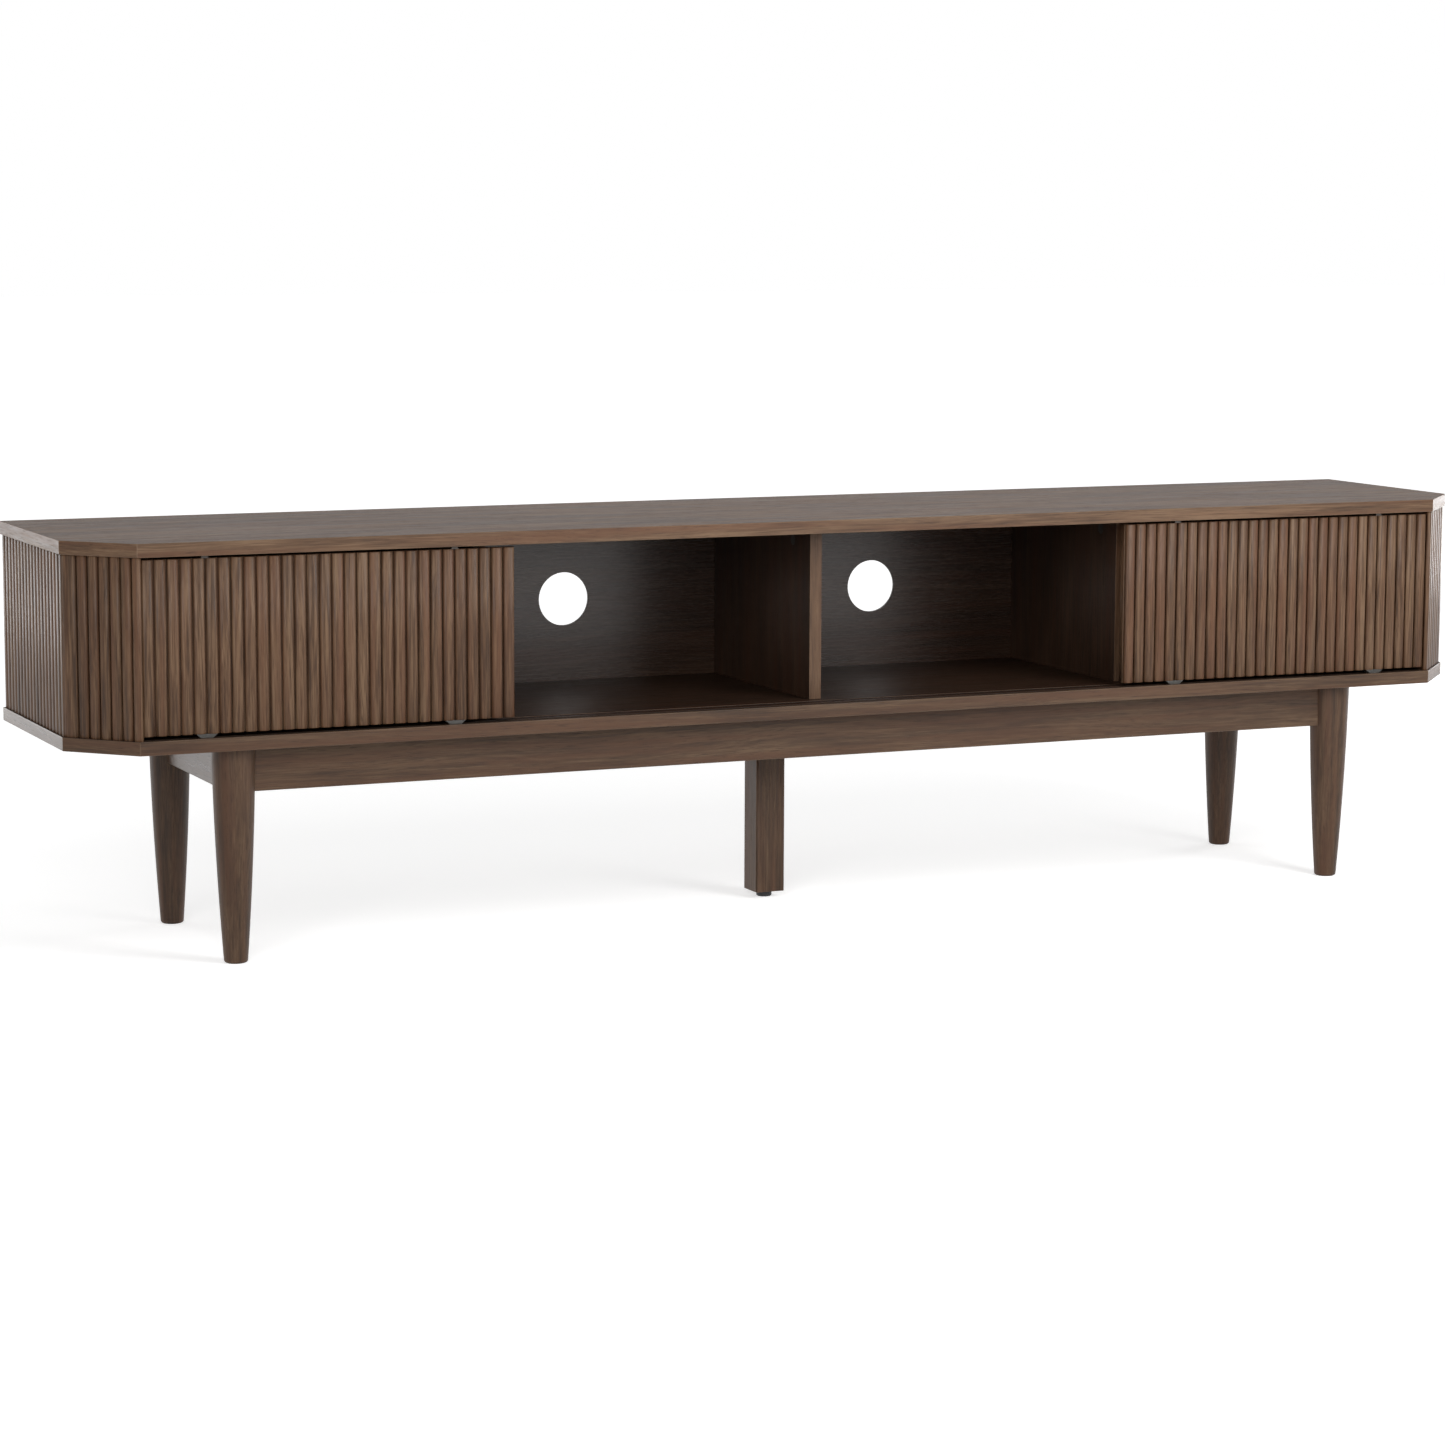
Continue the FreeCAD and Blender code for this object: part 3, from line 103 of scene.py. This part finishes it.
def noise(tree, vector, factors, detail=2.0, roughness=0.5):
    """Noise from 0 to 1, with its own frequency along each axis of the vector."""
    return add(tree, "ShaderNodeTexNoise",
               {"Vector": scaled(tree, vector, factors), "Scale": 1.0, "Detail": detail,
                "Roughness": roughness}).outputs["Fac"]


def spread(tree, value, low, high, to_low=0.0, to_high=1.0):
    """The value's range low to high, mapped and clamped to another range."""
    return add(tree, "ShaderNodeMapRange",
               {"Value": value, "From Min": low, "From Max": high, "To Min": to_low,
                "To Max": to_high}, clamp=True).outputs[0]


def mixed(tree, factor, first, second, blend="MIX"):
    made = add(tree, "ShaderNodeMix", data_type="RGBA", blend_type=blend)
    for key, given in ((0, factor), (6, first), (7, second)):
        if isinstance(given, bpy.types.NodeSocket):
            tree.links.new(given, made.inputs[key])
        else:
            made.inputs[key].default_value = given
    return made.outputs[2]


def ramp(tree, value, stops):
    made = add(tree, "ShaderNodeValToRGB", {"Fac": value})
    steps = made.color_ramp.elements
    while len(steps) < len(stops):
        steps.new(0.5)
    for step, (position, colour) in zip(steps, stops):
        step.position = position
        step.color = colour
    return made.outputs["Color"]


def new_material(name):
    material = bpy.data.materials.new(name)
    material.use_nodes = True
    tree = material.node_tree
    return material, tree, tree.nodes["Principled BSDF"]


def add_relief(tree, shader, height, strength, depth):
    bump = add(tree, "ShaderNodeBump", {"Height": height, "Strength": strength,
                                        "Distance": depth})
    tree.links.new(bump.outputs[0], shader.inputs["Normal"])


def attribute(tree, name):
    return add(tree, "ShaderNodeAttribute", attribute_name=name).outputs["Fac"]


# ---- wood ----------------------------------------------------------------------------------

# worn is the colour of the rounded arrises: partly wear, partly a painted highlight.
STAIN = {
    "dark": srgb(62, 44, 31), "mid": srgb(89, 66, 48), "light": srgb(112, 88, 67),
    "red": srgb(95, 64, 45), "pore": srgb(42, 29, 20), "worn": srgb(122, 100, 80),
}
# The stain darkened for the inside of the bays: painted shade of the recesses.
INSIDE_PAINTED_SHADE = {
    "dark": srgb(34, 23, 17), "mid": srgb(50, 35, 26), "light": srgb(66, 48, 36),
    "red": srgb(58, 36, 25), "pore": srgb(22, 15, 11), "worn": srgb(84, 66, 53),
}
PALE = {
    "dark": srgb(170, 135, 95), "mid": srgb(196, 162, 118), "light": srgb(214, 184, 142),
    "red": srgb(200, 155, 108), "pore": srgb(140, 105, 70), "worn": srgb(222, 196, 158),
}


def dimmed(colours, factor):
    """The same stain, darker by a factor."""
    return {name: tuple(level * factor for level in colour[:3]) + (1.0,)
            for name, colour in colours.items()}


# Noise layers of the wood: cycles per metre along and across the grain, detail, roughness.
LAYERS = {
    "sway": (1.6, 10, 2.0, 0.5), "contour": (0.9, 9, 1.5, 0.45), "streak": (11, 260, 4.0, 0.62),
    "fibre": (13, 700, 2.0, 0.6), "blotch": (2.4, 9, 2.0, 0.5), "warm": (2.2, 70, 2.0, 0.5),
    "pore": (34, 1300, 1.0, 0.5), "knot_place": (1.3, 3.1, 0.0, 0.5),
}
KNOT_CELLS = (9, 26, 26)           # cells per metre along and across the grain
SEED_SHIFT = (31.7, 17.3, 23.9)    # how far a seed of 1 moves a piece through the noise
SWAY_WIDTH = 0.03                  # how far the fibres wander sideways
RINGS = 9.0                        # rings from the lowest to the highest contour
LACQUER_DEPTH = 0.0003             # height of the relief under the lacquer


def layer(tree, vector, name, coarse=1.0):
    along, across, detail, roughness = LAYERS[name]
    factors = (along / coarse ** 0.5, across / coarse, across / coarse)
    return noise(tree, vector, factors, detail, roughness)


def centred(tree, value, weight, middle=0.5):
    """How far a value is from its middle, times a weight."""
    return math_of(tree, "MULTIPLY", math_of(tree, "SUBTRACT", value, middle), weight)


def wood(name, grain, colours, figure=1.0, knots=0.0, polish=(0.40, 0.52), shine=0.27,
         coarse=1.0, contrast=1.0, relief=0.35):
    """Stained wood under a satin lacquer, its grain along one axis of the object.

    Every piece or strip carries a seed that gives it fibres of its own; the broad tone runs on
    from strip to strip.
    """
    material, tree, shader = new_material(name)
    place = add(tree, "ShaderNodeTexCoord").outputs["Object"]
    axes = add(tree, "ShaderNodeSeparateXYZ", {0: place}).outputs
    if grain == "cut":
        side = math_of(tree, "ABSOLUTE", axes[0])
        run = math_of(tree, "ADD", axes[1], side)
        parts = (run, axes[2], math_of(tree, "SUBTRACT", axes[1], side))
    else:
        parts = [axes[i] for i in {"x": (0, 1, 2), "y": (1, 0, 2), "z": (2, 0, 1)}[grain]]
    turned = add(tree, "ShaderNodeCombineXYZ", dict(enumerate(parts))).outputs[0]
    seed = attribute(tree, "seed")
    moved = add(tree, "ShaderNodeCombineXYZ",
                {axis: math_of(tree, "MULTIPLY", seed, shift)
                 for axis, shift in enumerate(SEED_SHIFT)}).outputs[0]
    own = add(tree, "ShaderNodeVectorMath", {0: turned, 1: moved}, operation="ADD").outputs[0]

    sway = centred(tree, layer(tree, own, "sway"), SWAY_WIDTH)
    sideways = add(tree, "ShaderNodeCombineXYZ", {0: 0.0, 1: sway, 2: sway}).outputs[0]
    wavy = add(tree, "ShaderNodeVectorMath", {0: own, 1: sideways}, operation="ADD").outputs[0]

    contours = math_of(tree, "MULTIPLY", layer(tree, wavy, "contour"), RINGS)
    ring = math_of(tree, "PINGPONG", contours, 0.5)
    streak = layer(tree, wavy, "streak", coarse)
    fibre = layer(tree, wavy, "fibre")
    blotch = layer(tree, turned, "blotch")
    warm = layer(tree, own, "warm")
    pore = spread(tree, layer(tree, wavy, "pore"), 0.60, 0.72)

    tone = 0.5
    for part, weight, middle in ((streak, 1.5 * contrast, 0.5), (fibre, 0.7 * contrast, 0.5),
                                 (ring, 0.55 * figure, 0.25), (blotch, 0.9, 0.5),
                                 (seed, 0.12, 0.5)):
        tone = math_of(tree, "ADD", tone, centred(tree, part, weight, middle))
    colour = ramp(tree, tone, [(0.12, colours["dark"]), (0.5, colours["mid"]),
                               (0.88, colours["light"])])
    redness = spread(tree, warm, 0.42, 0.68, 0.0, 0.7)
    colour = mixed(tree, redness, colour, colours["red"])
    colour = mixed(tree, math_of(tree, "MULTIPLY", pore, 0.55), colour, colours["pore"])
    if knots:
        cells = add(tree, "ShaderNodeTexVoronoi",
                    {"Vector": scaled(tree, turned, KNOT_CELLS), "Scale": 1.0,
                     "Randomness": 1.0}).outputs["Distance"]
        warped = math_of(tree, "ADD", cells, centred(tree, streak, 0.35))
        patch = spread(tree, warped, 0.06, 0.24, 1.0, 0.0)
        chosen = spread(tree, layer(tree, turned, "knot_place"), 0.52, 0.62)
        knot = math_of(tree, "MULTIPLY", math_of(tree, "MULTIPLY", patch, chosen), knots)
        colour = mixed(tree, knot, colour, colours["pore"])
    # The rounded arrises are drawn towards the worn colour: partly wear, partly a painted
    # highlight along the edges.
    edge = attribute(tree, "edge")
    rubbed_and_highlit = math_of(tree, "MULTIPLY", edge, spread(tree, streak, 0.3, 0.7, 0.15, 0.6))
    colour = mixed(tree, rubbed_and_highlit, colour, colours["worn"])
    tree.links.new(colour, shader.inputs["Base Color"])

    rough = spread(tree, streak, 0.3, 0.7, *polish)
    rough = math_of(tree, "ADD", rough, math_of(tree, "MULTIPLY", pore, 0.12))
    tree.links.new(rough, shader.inputs["Roughness"])
    shader.inputs["Specular IOR Level"].default_value = shine
    height = math_of(tree, "ADD", math_of(tree, "SUBTRACT", fibre, pore),
                     math_of(tree, "MULTIPLY", streak, coarse))
    add_relief(tree, shader, height, relief, LACQUER_DEPTH)
    return material


# ---- plastics and metals -------------------------------------------------------------------

GRIT_DEPTH = 0.0001


def plastic(name, colour, worn, roughness, grit, clear=0.0):
    """Moulded plastic: fine spark-eroded texture, a little scuffing, slight mottling."""
    material, tree, shader = new_material(name)
    place = add(tree, "ShaderNodeTexCoord").outputs["Object"]
    mottle = noise(tree, place, (60, 60, 60), 3.0)
    scuff = spread(tree, noise(tree, place, (420, 420, 420), 2.0), 0.58, 0.75, 0.0, 0.5)
    tone = math_of(tree, "ADD", scuff, math_of(tree, "MULTIPLY", mottle, 0.3))
    tree.links.new(mixed(tree, tone, colour, worn), shader.inputs["Base Color"])
    tree.links.new(spread(tree, mottle, 0.3, 0.7, roughness - 0.05, roughness + 0.08),
                   shader.inputs["Roughness"])
    shader.inputs["Transmission Weight"].default_value = clear
    add_relief(tree, shader, noise(tree, place, (2200, 2200, 2200), 1.0), grit, GRIT_DEPTH)
    return material


def plated(name, bright, dull, roughness):
    """Plated steel or die-cast zinc: directional scratches and duller patches."""
    material, tree, shader = new_material(name)
    place = add(tree, "ShaderNodeTexCoord").outputs["Object"]
    patch = noise(tree, place, (90, 90, 90), 3.0)
    scratch = noise(tree, place, (300, 300, 2600), 2.0)
    tree.links.new(mixed(tree, spread(tree, patch, 0.35, 0.7), bright, dull),
                   shader.inputs["Base Color"])
    tree.links.new(spread(tree, math_of(tree, "ADD", patch, scratch), 0.7, 1.3,
                          roughness - 0.08, roughness + 0.12), shader.inputs["Roughness"])
    shader.inputs["Metallic"].default_value = 1.0
    add_relief(tree, shader, scratch, 0.2, GRIT_DEPTH)
    return material


# ---- pieces --------------------------------------------------------------------------------

EDGE_TURN = math.radians(25)       # faces that meet at more than this have an arris
FLAT_TURN = math.radians(0.5)      # faces that meet at less than this are one
SHORTEST_ARRIS = 0.012             # shorter edges, such as those around holes, stay sharp
JOINED = 1e-6                      # vertices closer than this are one
PLACE_DIGITS = 5                   # a place is compared to 0.01 mm
UP = Vector((0.0, 0.0, 1.0))
random.seed(20)


def cad_mesh(node):
    """A copy of a CAD node's mesh in as few faces as show its shape."""
    mesh = bmesh.new()
    mesh.from_mesh(NODES[node].data)
    bmesh.ops.remove_doubles(mesh, verts=mesh.verts, dist=JOINED)
    bmesh.ops.dissolve_limit(mesh, angle_limit=FLAT_TURN, verts=mesh.verts, edges=mesh.edges)
    return mesh


def stand_in(mesh, node, materials):
    """The piece that is made of a mesh and stands for a CAD node."""
    data = bpy.data.meshes.new(f"{node}_finish")
    mesh.to_mesh(data)
    mesh.free()
    for material in materials:
        data.materials.append(material)
    piece = bpy.data.objects.new(f"{node}_finish", data)
    bpy.context.scene.collection.objects.link(piece)
    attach(piece, NODES[node]["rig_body"])
    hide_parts(node)
    return piece


def loose_groups(mesh):
    """Lists of the vertices that hang together, in the order of their places.

    Every run then gives the same seed to the same piece.
    """
    reached = set()
    groups = []
    for start in mesh.verts:
        if start in reached:
            continue
        reached.add(start)
        group = [start]
        for vertex in group:
            for edge in vertex.link_edges:
                other = edge.other_vert(vertex)
                if other not in reached:
                    reached.add(other)
                    group.append(other)
        groups.append(group)

    def first_place(group):
        return min(tuple(round(level, PLACE_DIGITS) for level in vertex.co) for vertex in group)

    return sorted(groups, key=first_place)


def softened(node, choose, materials, width, split_y=None):
    """A copy of a CAD node with its long arrises rounded, which stands for that node.

    choose gives the index in materials of a face from its normal and centre; split_y divides
    the faces that cross it, so that each half can have its own.
    """
    mesh = cad_mesh(node)
    seed_layer = mesh.verts.layers.float.new("seed")
    edge_layer = mesh.faces.layers.float.new("edge")
    sharp = [edge for edge in mesh.edges
             if len(edge.link_faces) == 2 and edge.calc_face_angle() > EDGE_TURN
             and edge.calc_length() > SHORTEST_ARRIS]
    rounded = bmesh.ops.bevel(mesh, geom=sharp, offset=width, segments=2, profile=0.5,
                              affect="EDGES", clamp_overlap=False)["faces"]
    for face in rounded:
        face[edge_layer] = 1.0
    if split_y is not None:
        everything = mesh.verts[:] + mesh.edges[:] + mesh.faces[:]
        bmesh.ops.bisect_plane(mesh, geom=everything, plane_co=(0, split_y, 0),
                               plane_no=(0, 1, 0))
    for group in loose_groups(mesh):
        seed = random.random()
        for vertex in group:
            vertex[seed_layer] = seed
    mesh.normal_update()
    for face in mesh.faces:
        face.smooth = True
        face.material_index = choose(face.normal, face.calc_center_median())
    piece = stand_in(mesh, node, materials)
    piece.modifiers.new("even_shading", "WEIGHTED_NORMAL").keep_sharp = True


STRIP_SIDE = 0.0022      # straight part of a strip's side
STRIP_SPREAD = 0.0006    # how far the foot of its rounded face reaches past each side
STRIP_FLATNESS = 2.9     # 2 is a half round, more is flatter in the middle
STRIP_EASE = 0.0004      # rounding of a strip's two ends
STRIP_STEPS = 20


def strip_section(width, depth):
    """Points (across, out) of a strip's section: a flat back and a full, rounded face."""
    points = [(-width / 2, 0.0)]
    for step in range(STRIP_STEPS + 1):
        place = -math.cos(math.pi * step / STRIP_STEPS)
        height = max(0.0, 1 - abs(place) ** STRIP_FLATNESS) ** 0.5
        points.append((place * width / 2, STRIP_SIDE + (depth - STRIP_SIDE) * height))
    return points + [(width / 2, 0.0)]


def extent(vertices, axis):
    """The least and the greatest distance along an axis."""
    reach = [vertex.co.dot(axis) for vertex in vertices]
    return min(reach), max(reach)


def eased(section, depth, ease):
    """A strip's section drawn in by ease all round, apart from its back and its very middle."""
    points = []
    for along, out in section:
        if abs(along) > STRIP_EASE:
            along -= math.copysign(ease, along)
        if out > 0:
            out -= math.copysign(ease, out - depth / 2)
        points.append((along, out))
    return points


def add_strip(mesh, vertices, outward, seed_layer):
    """One rounded strip in the place that a plain one's vertices take up."""
    across = UP.cross(outward)
    left, right = extent(vertices, across)
    back, front = extent(vertices, outward)
    bottom, top = extent(vertices, UP)
    middle = (left + right) / 2
    section = strip_section(right - left + 2 * STRIP_SPREAD, front - back)
    rings = []
    for height, ease in ((bottom, STRIP_EASE), (bottom + STRIP_EASE, 0.0),
                         (top - STRIP_EASE, 0.0), (top, STRIP_EASE)):
        rings.append([mesh.verts.new(across * (middle + along) + outward * (back + out)
                                     + UP * height)
                      for along, out in eased(section, front - back, ease)])
    seed = random.random()
    for ring in rings:
        for vertex in ring:
            vertex[seed_layer] = seed
    count = len(section)
    for lower, upper in zip(rings, rings[1:]):
        for index in range(count):
            after = (index + 1) % count
            mesh.faces.new((lower[index], lower[after], upper[after], upper[index]))
    mesh.faces.new(list(reversed(rings[0])))
    mesh.faces.new(rings[-1])


def fluted(node, material):
    """Rounded strips, which stand for the CAD node's plain ones."""
    plain = cad_mesh(node)
    back = max(plain.faces, key=lambda face: face.calc_area())
    outward = -back.normal
    outward.z = 0.0
    outward.normalize()
    mesh = bmesh.new()
    seed_layer = mesh.verts.layers.float.new("seed")
    for vertices in loose_groups(plain):
        add_strip(mesh, vertices, outward, seed_layer)
    plain.free()
    bmesh.ops.recalc_face_normals(mesh, faces=mesh.faces)
    for face in mesh.faces:
        face.smooth = len(face.verts) == 4
    stand_in(mesh, node, (material,))


def coat(node, material):
    """A CAD node that stays in view with a finish of its own."""
    shown = NODES[node]
    shown.data.materials.clear()
    shown.data.materials.append(material)


# The stain darkened for the rails, legs and bottom panel: painted shade of the parts below the
# doors.
BASE_STAIN_PAINTED_SHADE = dimmed(STAIN, 0.68)
MATT = 0.12                        # specular level of the surfaces with the least shine
STAINED = {grain: wood(f"stained_{grain}", grain, STAIN) for grain in ("x", "y", "cut")}
STAINED["z"] = wood("stained_z", "z", STAIN, figure=0.5, knots=0.6)
TOP = wood("stained_top", "x", dimmed(STAIN, 0.66), figure=4.5, shine=MATT, coarse=4.0,
           contrast=4.0, relief=1.0)
BASE = {grain: wood(f"base_{grain}", grain, BASE_STAIN_PAINTED_SHADE) for grain in ("x", "cut", "z")}
BASE["y"] = wood("base_y", "y", BASE_STAIN_PAINTED_SHADE, polish=(0.26, 0.32), shine=0.4)
# Dark inside wood for the uprights' sides and the bay floor: painted shade, a little deeper on
# the floor.
DARK = {"x": wood("inside_x", "x", dimmed(INSIDE_PAINTED_SHADE, 0.75), figure=0.8, shine=MATT),
        "z": wood("inside_z", "z", INSIDE_PAINTED_SHADE, figure=0.8, shine=MATT)}
# The back panels: painted shade of the bays in their colour, under a real glossy lacquer.
BACK = wood("inside_back", "x", INSIDE_PAINTED_SHADE, figure=0.8, polish=(0.24, 0.30), shine=0.55,
            contrast=0.6, relief=0.06)
# The track grooves, darker still: painted shade in the grooves.
GROOVE_PAINTED_SHADE = wood("inside_groove", "x", dimmed(INSIDE_PAINTED_SHADE, 0.3), shine=MATT)
STRIP = wood("stained_strip", "z", STAIN, figure=0.4, knots=0.6, polish=(0.34, 0.46),
             shine=0.22, contrast=1.5)
PLAIN = wood("plain_beech", "z", PALE, figure=0.4)
STEEL = plated("zinc_plated_steel", srgb(196, 198, 200), srgb(150, 152, 155), 0.34)
ZINC = plated("die_cast_zinc", srgb(176, 178, 182), srgb(132, 134, 138), 0.42)
GLIDE = plastic("natural_plastic", srgb(98, 95, 90), srgb(78, 75, 70), 0.3, 0.2, 0.7)
# The top guides: the glides' plastic made darker and browner, painted shade under the top
# panel.
SHADED_GUIDE_PLASTIC = plastic("brown_plastic", srgb(58, 48, 40), srgb(44, 36, 30), 0.4, 0.2)
CAP = plastic("dark_brown_plastic", srgb(24, 18, 15), srgb(40, 32, 28), 0.5, 0.3)
FOOT = plastic("black_plastic", srgb(20, 20, 21), srgb(44, 44, 46), 0.45, 0.4)


FACING = 0.9                       # a normal's part along the axis that a face looks along
LITTLE = 0.3                       # and along one that it hardly looks along
# Where the bay floor's painted shade starts, just in front of the front track, and the level
# below which its grooves take deeper painted shade.
FLOOR_LIP = 0.001
FLOOR_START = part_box("left_door_bottom_glides")[0].y - FLOOR_LIP
FLOOR_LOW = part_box("left_door_bottom_glides")[0].z - FLOOR_LIP
FLOOR_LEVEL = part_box("centre_divider")[0].z - FLOOR_LIP / 2


def board_faces(normal, centre):
    """Grain along the length; each end and cut corner carries an edge strip of its own."""
    if abs(normal.z) > 0.5 or abs(normal.x) < LITTLE:
        return 0
    return 1 if abs(normal.y) < LITTLE else 2


def top_faces(normal, centre):
    """As board_faces, with the figured veneer on the upper face."""
    return 3 if normal.z > FACING else board_faces(normal, centre)


def floor_faces(normal, centre):
    """As board_faces, with painted shade on the bay floor from the front track on, and deeper
    painted shade in its grooves.
    """
    flat = normal.z > FACING or abs(normal.y) > FACING
    if flat and centre.y > FLOOR_START and centre.z > FLOOR_LOW:
        return 3 if centre.z > FLOOR_LEVEL else 4
    return board_faces(normal, centre)


def upright_faces(normal, centre):
    """The front edge of an upright has the outside's stain; its other faces have the inside's
    painted shade.
    """
    return 1 if normal.y < -FACING else 0


def first_only(normal, centre):
    return 0


BOARD_ROUND = 0.0008
UPRIGHT_ROUND = 0.0007
BACKING_ROUND = 0.0006
LEG_ROUND = 0.0004
THIN_ROUND = 0.0003
ALONG = (STAINED["x"], STAINED["y"], STAINED["cut"])
BASE_ALONG = (BASE["x"], BASE["y"], BASE["cut"])
softened("top_panel", top_faces, ALONG + (TOP,), BOARD_ROUND)
for name in ("front_rail", "back_rail"):
    softened(name, board_faces, BASE_ALONG, BOARD_ROUND)
# The bottom panel's top face is split at the front track, so the bay floor behind it takes
# painted shade.
softened("bottom_panel", floor_faces, BASE_ALONG + (DARK["x"], GROOVE_PAINTED_SHADE),
         BOARD_ROUND, split_y=FLOOR_START)
for name in ("left_side_rail", "right_side_rail", "centre_rail"):
    softened(name, first_only, (BASE["y"],), BOARD_ROUND)
for side in ("left", "right"):
    for name in ("end_backing", "corner_backing", "door_backing"):
        softened(f"{side}_{name}", first_only, (STAINED["z"],), BACKING_ROUND)
    for name in ("end_slats", "corner_slats", "door_slats"):
        fluted(f"{side}_{name}", STRIP)
    softened(f"back_panel_{side}", first_only, (BACK,), THIN_ROUND)
for name in ("left_partition", "centre_divider", "right_partition"):
    softened(name, upright_faces, (DARK["z"], STAINED["z"]), UPRIGHT_ROUND)
softened("centre_leg", first_only, (BASE["z"],), LEG_ROUND)

for name in ("front_left_leg", "front_right_leg", "back_left_leg", "back_right_leg"):
    coat(name, BASE["z"])
for name in ("carcass_dowels", "frame_dowels"):
    coat(name, PLAIN)
for name in ("bottom_screws", "back_panel_screws", "frame_screws", "centre_leg_screws",
             "cam_bolts", "centre_foot_insert", "centre_foot_stud"):
    coat(name, STEEL)
coat("cam_locks", ZINC)
coat("cam_caps", CAP)
coat("centre_foot_pad", FOOT)
for side in ("left", "right"):
    coat(f"{side}_door_bottom_glides", GLIDE)
    coat(f"{side}_door_top_guides", SHADED_GUIDE_PLASTIC)


# ---- camera --------------------------------------------------------------------------------

YAW = math.radians(24.104)
PITCH = math.radians(7.8675)
ROLL = math.radians(0.2268)
CAMERA_PLACE = (-2.26998, -4.90640, 0.99859)
LENS = 96.035                      # millimetres, on a sensor 36 wide
SENSOR_WIDTH = 36.0


def add_camera():
    """At the photograph's viewing angle: a long lens, a little above the cabinet."""
    forward = Vector((math.sin(YAW) * math.cos(PITCH), math.cos(YAW) * math.cos(PITCH),
                      -math.sin(PITCH)))
    level = Vector((math.cos(YAW), -math.sin(YAW), 0.0))
    upright = level.cross(forward)
    across = level * math.cos(ROLL) + upright * math.sin(ROLL)
    up = upright * math.cos(ROLL) - level * math.sin(ROLL)
    data = bpy.data.cameras.new("camera")
    data.lens = LENS
    data.sensor_width = SENSOR_WIDTH
    camera = bpy.data.objects.new("camera", data)
    turn = Matrix((across, up, -forward)).transposed()
    camera.matrix_world = Matrix.Translation(CAMERA_PLACE) @ turn.to_4x4()
    bpy.context.scene.collection.objects.link(camera)
    bpy.context.scene.camera = camera


# ---- studio --------------------------------------------------------------------------------

WORLD_FILL = 0.3                   # light of the surroundings on the cabinet
FLOOR_SIZE = 30.0
FLOOR_SHADE = srgb(232, 232, 232)
# Less glow near the cabinet than far off: painted shade that deepens its shadow on the floor.
PAINTED_SHADE_GLOW_NEAR, GLOW_FAR = 0.55, 0.85   # extra light of the floor, where it is seen
NEAR, FAR = 1.5, 5.0
MIDDLE = (0.0, 0.0, 0.4)
SOFTBOXES = (                      # name, place, aim, width, height, watts
    ("key", (1.1, -2.1, 1.6), MIDDLE, 1.1, 1.8, 46),
    ("front", (-2.2, -3.0, 1.7), (-0.4, 0.0, 0.4), 2.0, 1.6, 56),
    ("top", (0.3, -0.4, 3.4), MIDDLE, 3.0, 2.0, 16),
    ("left", (-2.5, 2.9, 0.65), (-1.05, 0.0, 0.35), 1.9, 1.2, 24),
    ("right", (3.6, 1.4, 0.7), (1.0, 0.0, 0.4), 1.4, 1.2, 34),
)


def seen_white(tree):
    """1 for what the camera, a reflection or a clear piece sees of the background."""
    path = add(tree, "ShaderNodeLightPath").outputs
    either = math_of(tree, "MAXIMUM", path["Is Camera Ray"], path["Is Glossy Ray"])
    return math_of(tree, "MAXIMUM", either, path["Is Transmission Ray"])


def add_world():
    world = bpy.data.worlds.new("studio")
    world.use_nodes = True
    tree = world.node_tree
    level = spread(tree, seen_white(tree), 0.0, 1.0, WORLD_FILL, 1.0)
    tree.links.new(level, tree.nodes["Background"].inputs["Strength"])
    tree.nodes["Background"].inputs["Color"].default_value = (1.0, 1.0, 1.0, 1.0)
    bpy.context.scene.world = world


def add_floor():
    mesh = bmesh.new()
    bmesh.ops.create_grid(mesh, x_segments=1, y_segments=1, size=FLOOR_SIZE)
    data = bpy.data.meshes.new("floor")
    mesh.to_mesh(data)
    mesh.free()
    floor = bpy.data.objects.new("floor", data)
    bpy.context.scene.collection.objects.link(floor)
    material, tree, shader = new_material("pale_floor")
    shader.inputs["Base Color"].default_value = FLOOR_SHADE
    shader.inputs["Roughness"].default_value = 0.9
    shader.inputs["Specular IOR Level"].default_value = 0.1
    place = add(tree, "ShaderNodeTexCoord").outputs["Object"]
    away = add(tree, "ShaderNodeVectorMath", {0: place}, operation="LENGTH").outputs["Value"]
    # The glow rises with distance from the cabinet: painted shade near it.
    level = spread(tree, away, NEAR, FAR, PAINTED_SHADE_GLOW_NEAR, GLOW_FAR)
    glow = add(tree, "ShaderNodeEmission",
               {"Strength": math_of(tree, "MULTIPLY", seen_white(tree), level)})
    both = add(tree, "ShaderNodeAddShader", {0: shader.outputs[0], 1: glow.outputs[0]})
    tree.links.new(both.outputs[0], tree.nodes["Material Output"].inputs["Surface"])
    data.materials.append(material)


def add_softbox(name, place, aim, width, height, watts):
    data = bpy.data.lights.new(name, "AREA")
    data.shape = "RECTANGLE"
    data.size = width
    data.size_y = height
    data.energy = watts
    lamp = bpy.data.objects.new(name, data)
    lamp.location = place
    lamp.rotation_euler = (Vector(aim) - Vector(place)).to_track_quat("-Z", "Y").to_euler()
    lamp.visible_camera = False
    bpy.context.scene.collection.objects.link(lamp)


add_camera()
add_world()
add_floor()
for softbox in SOFTBOXES:
    add_softbox(*softbox)
bpy.context.scene.view_settings.view_transform = "Standard"
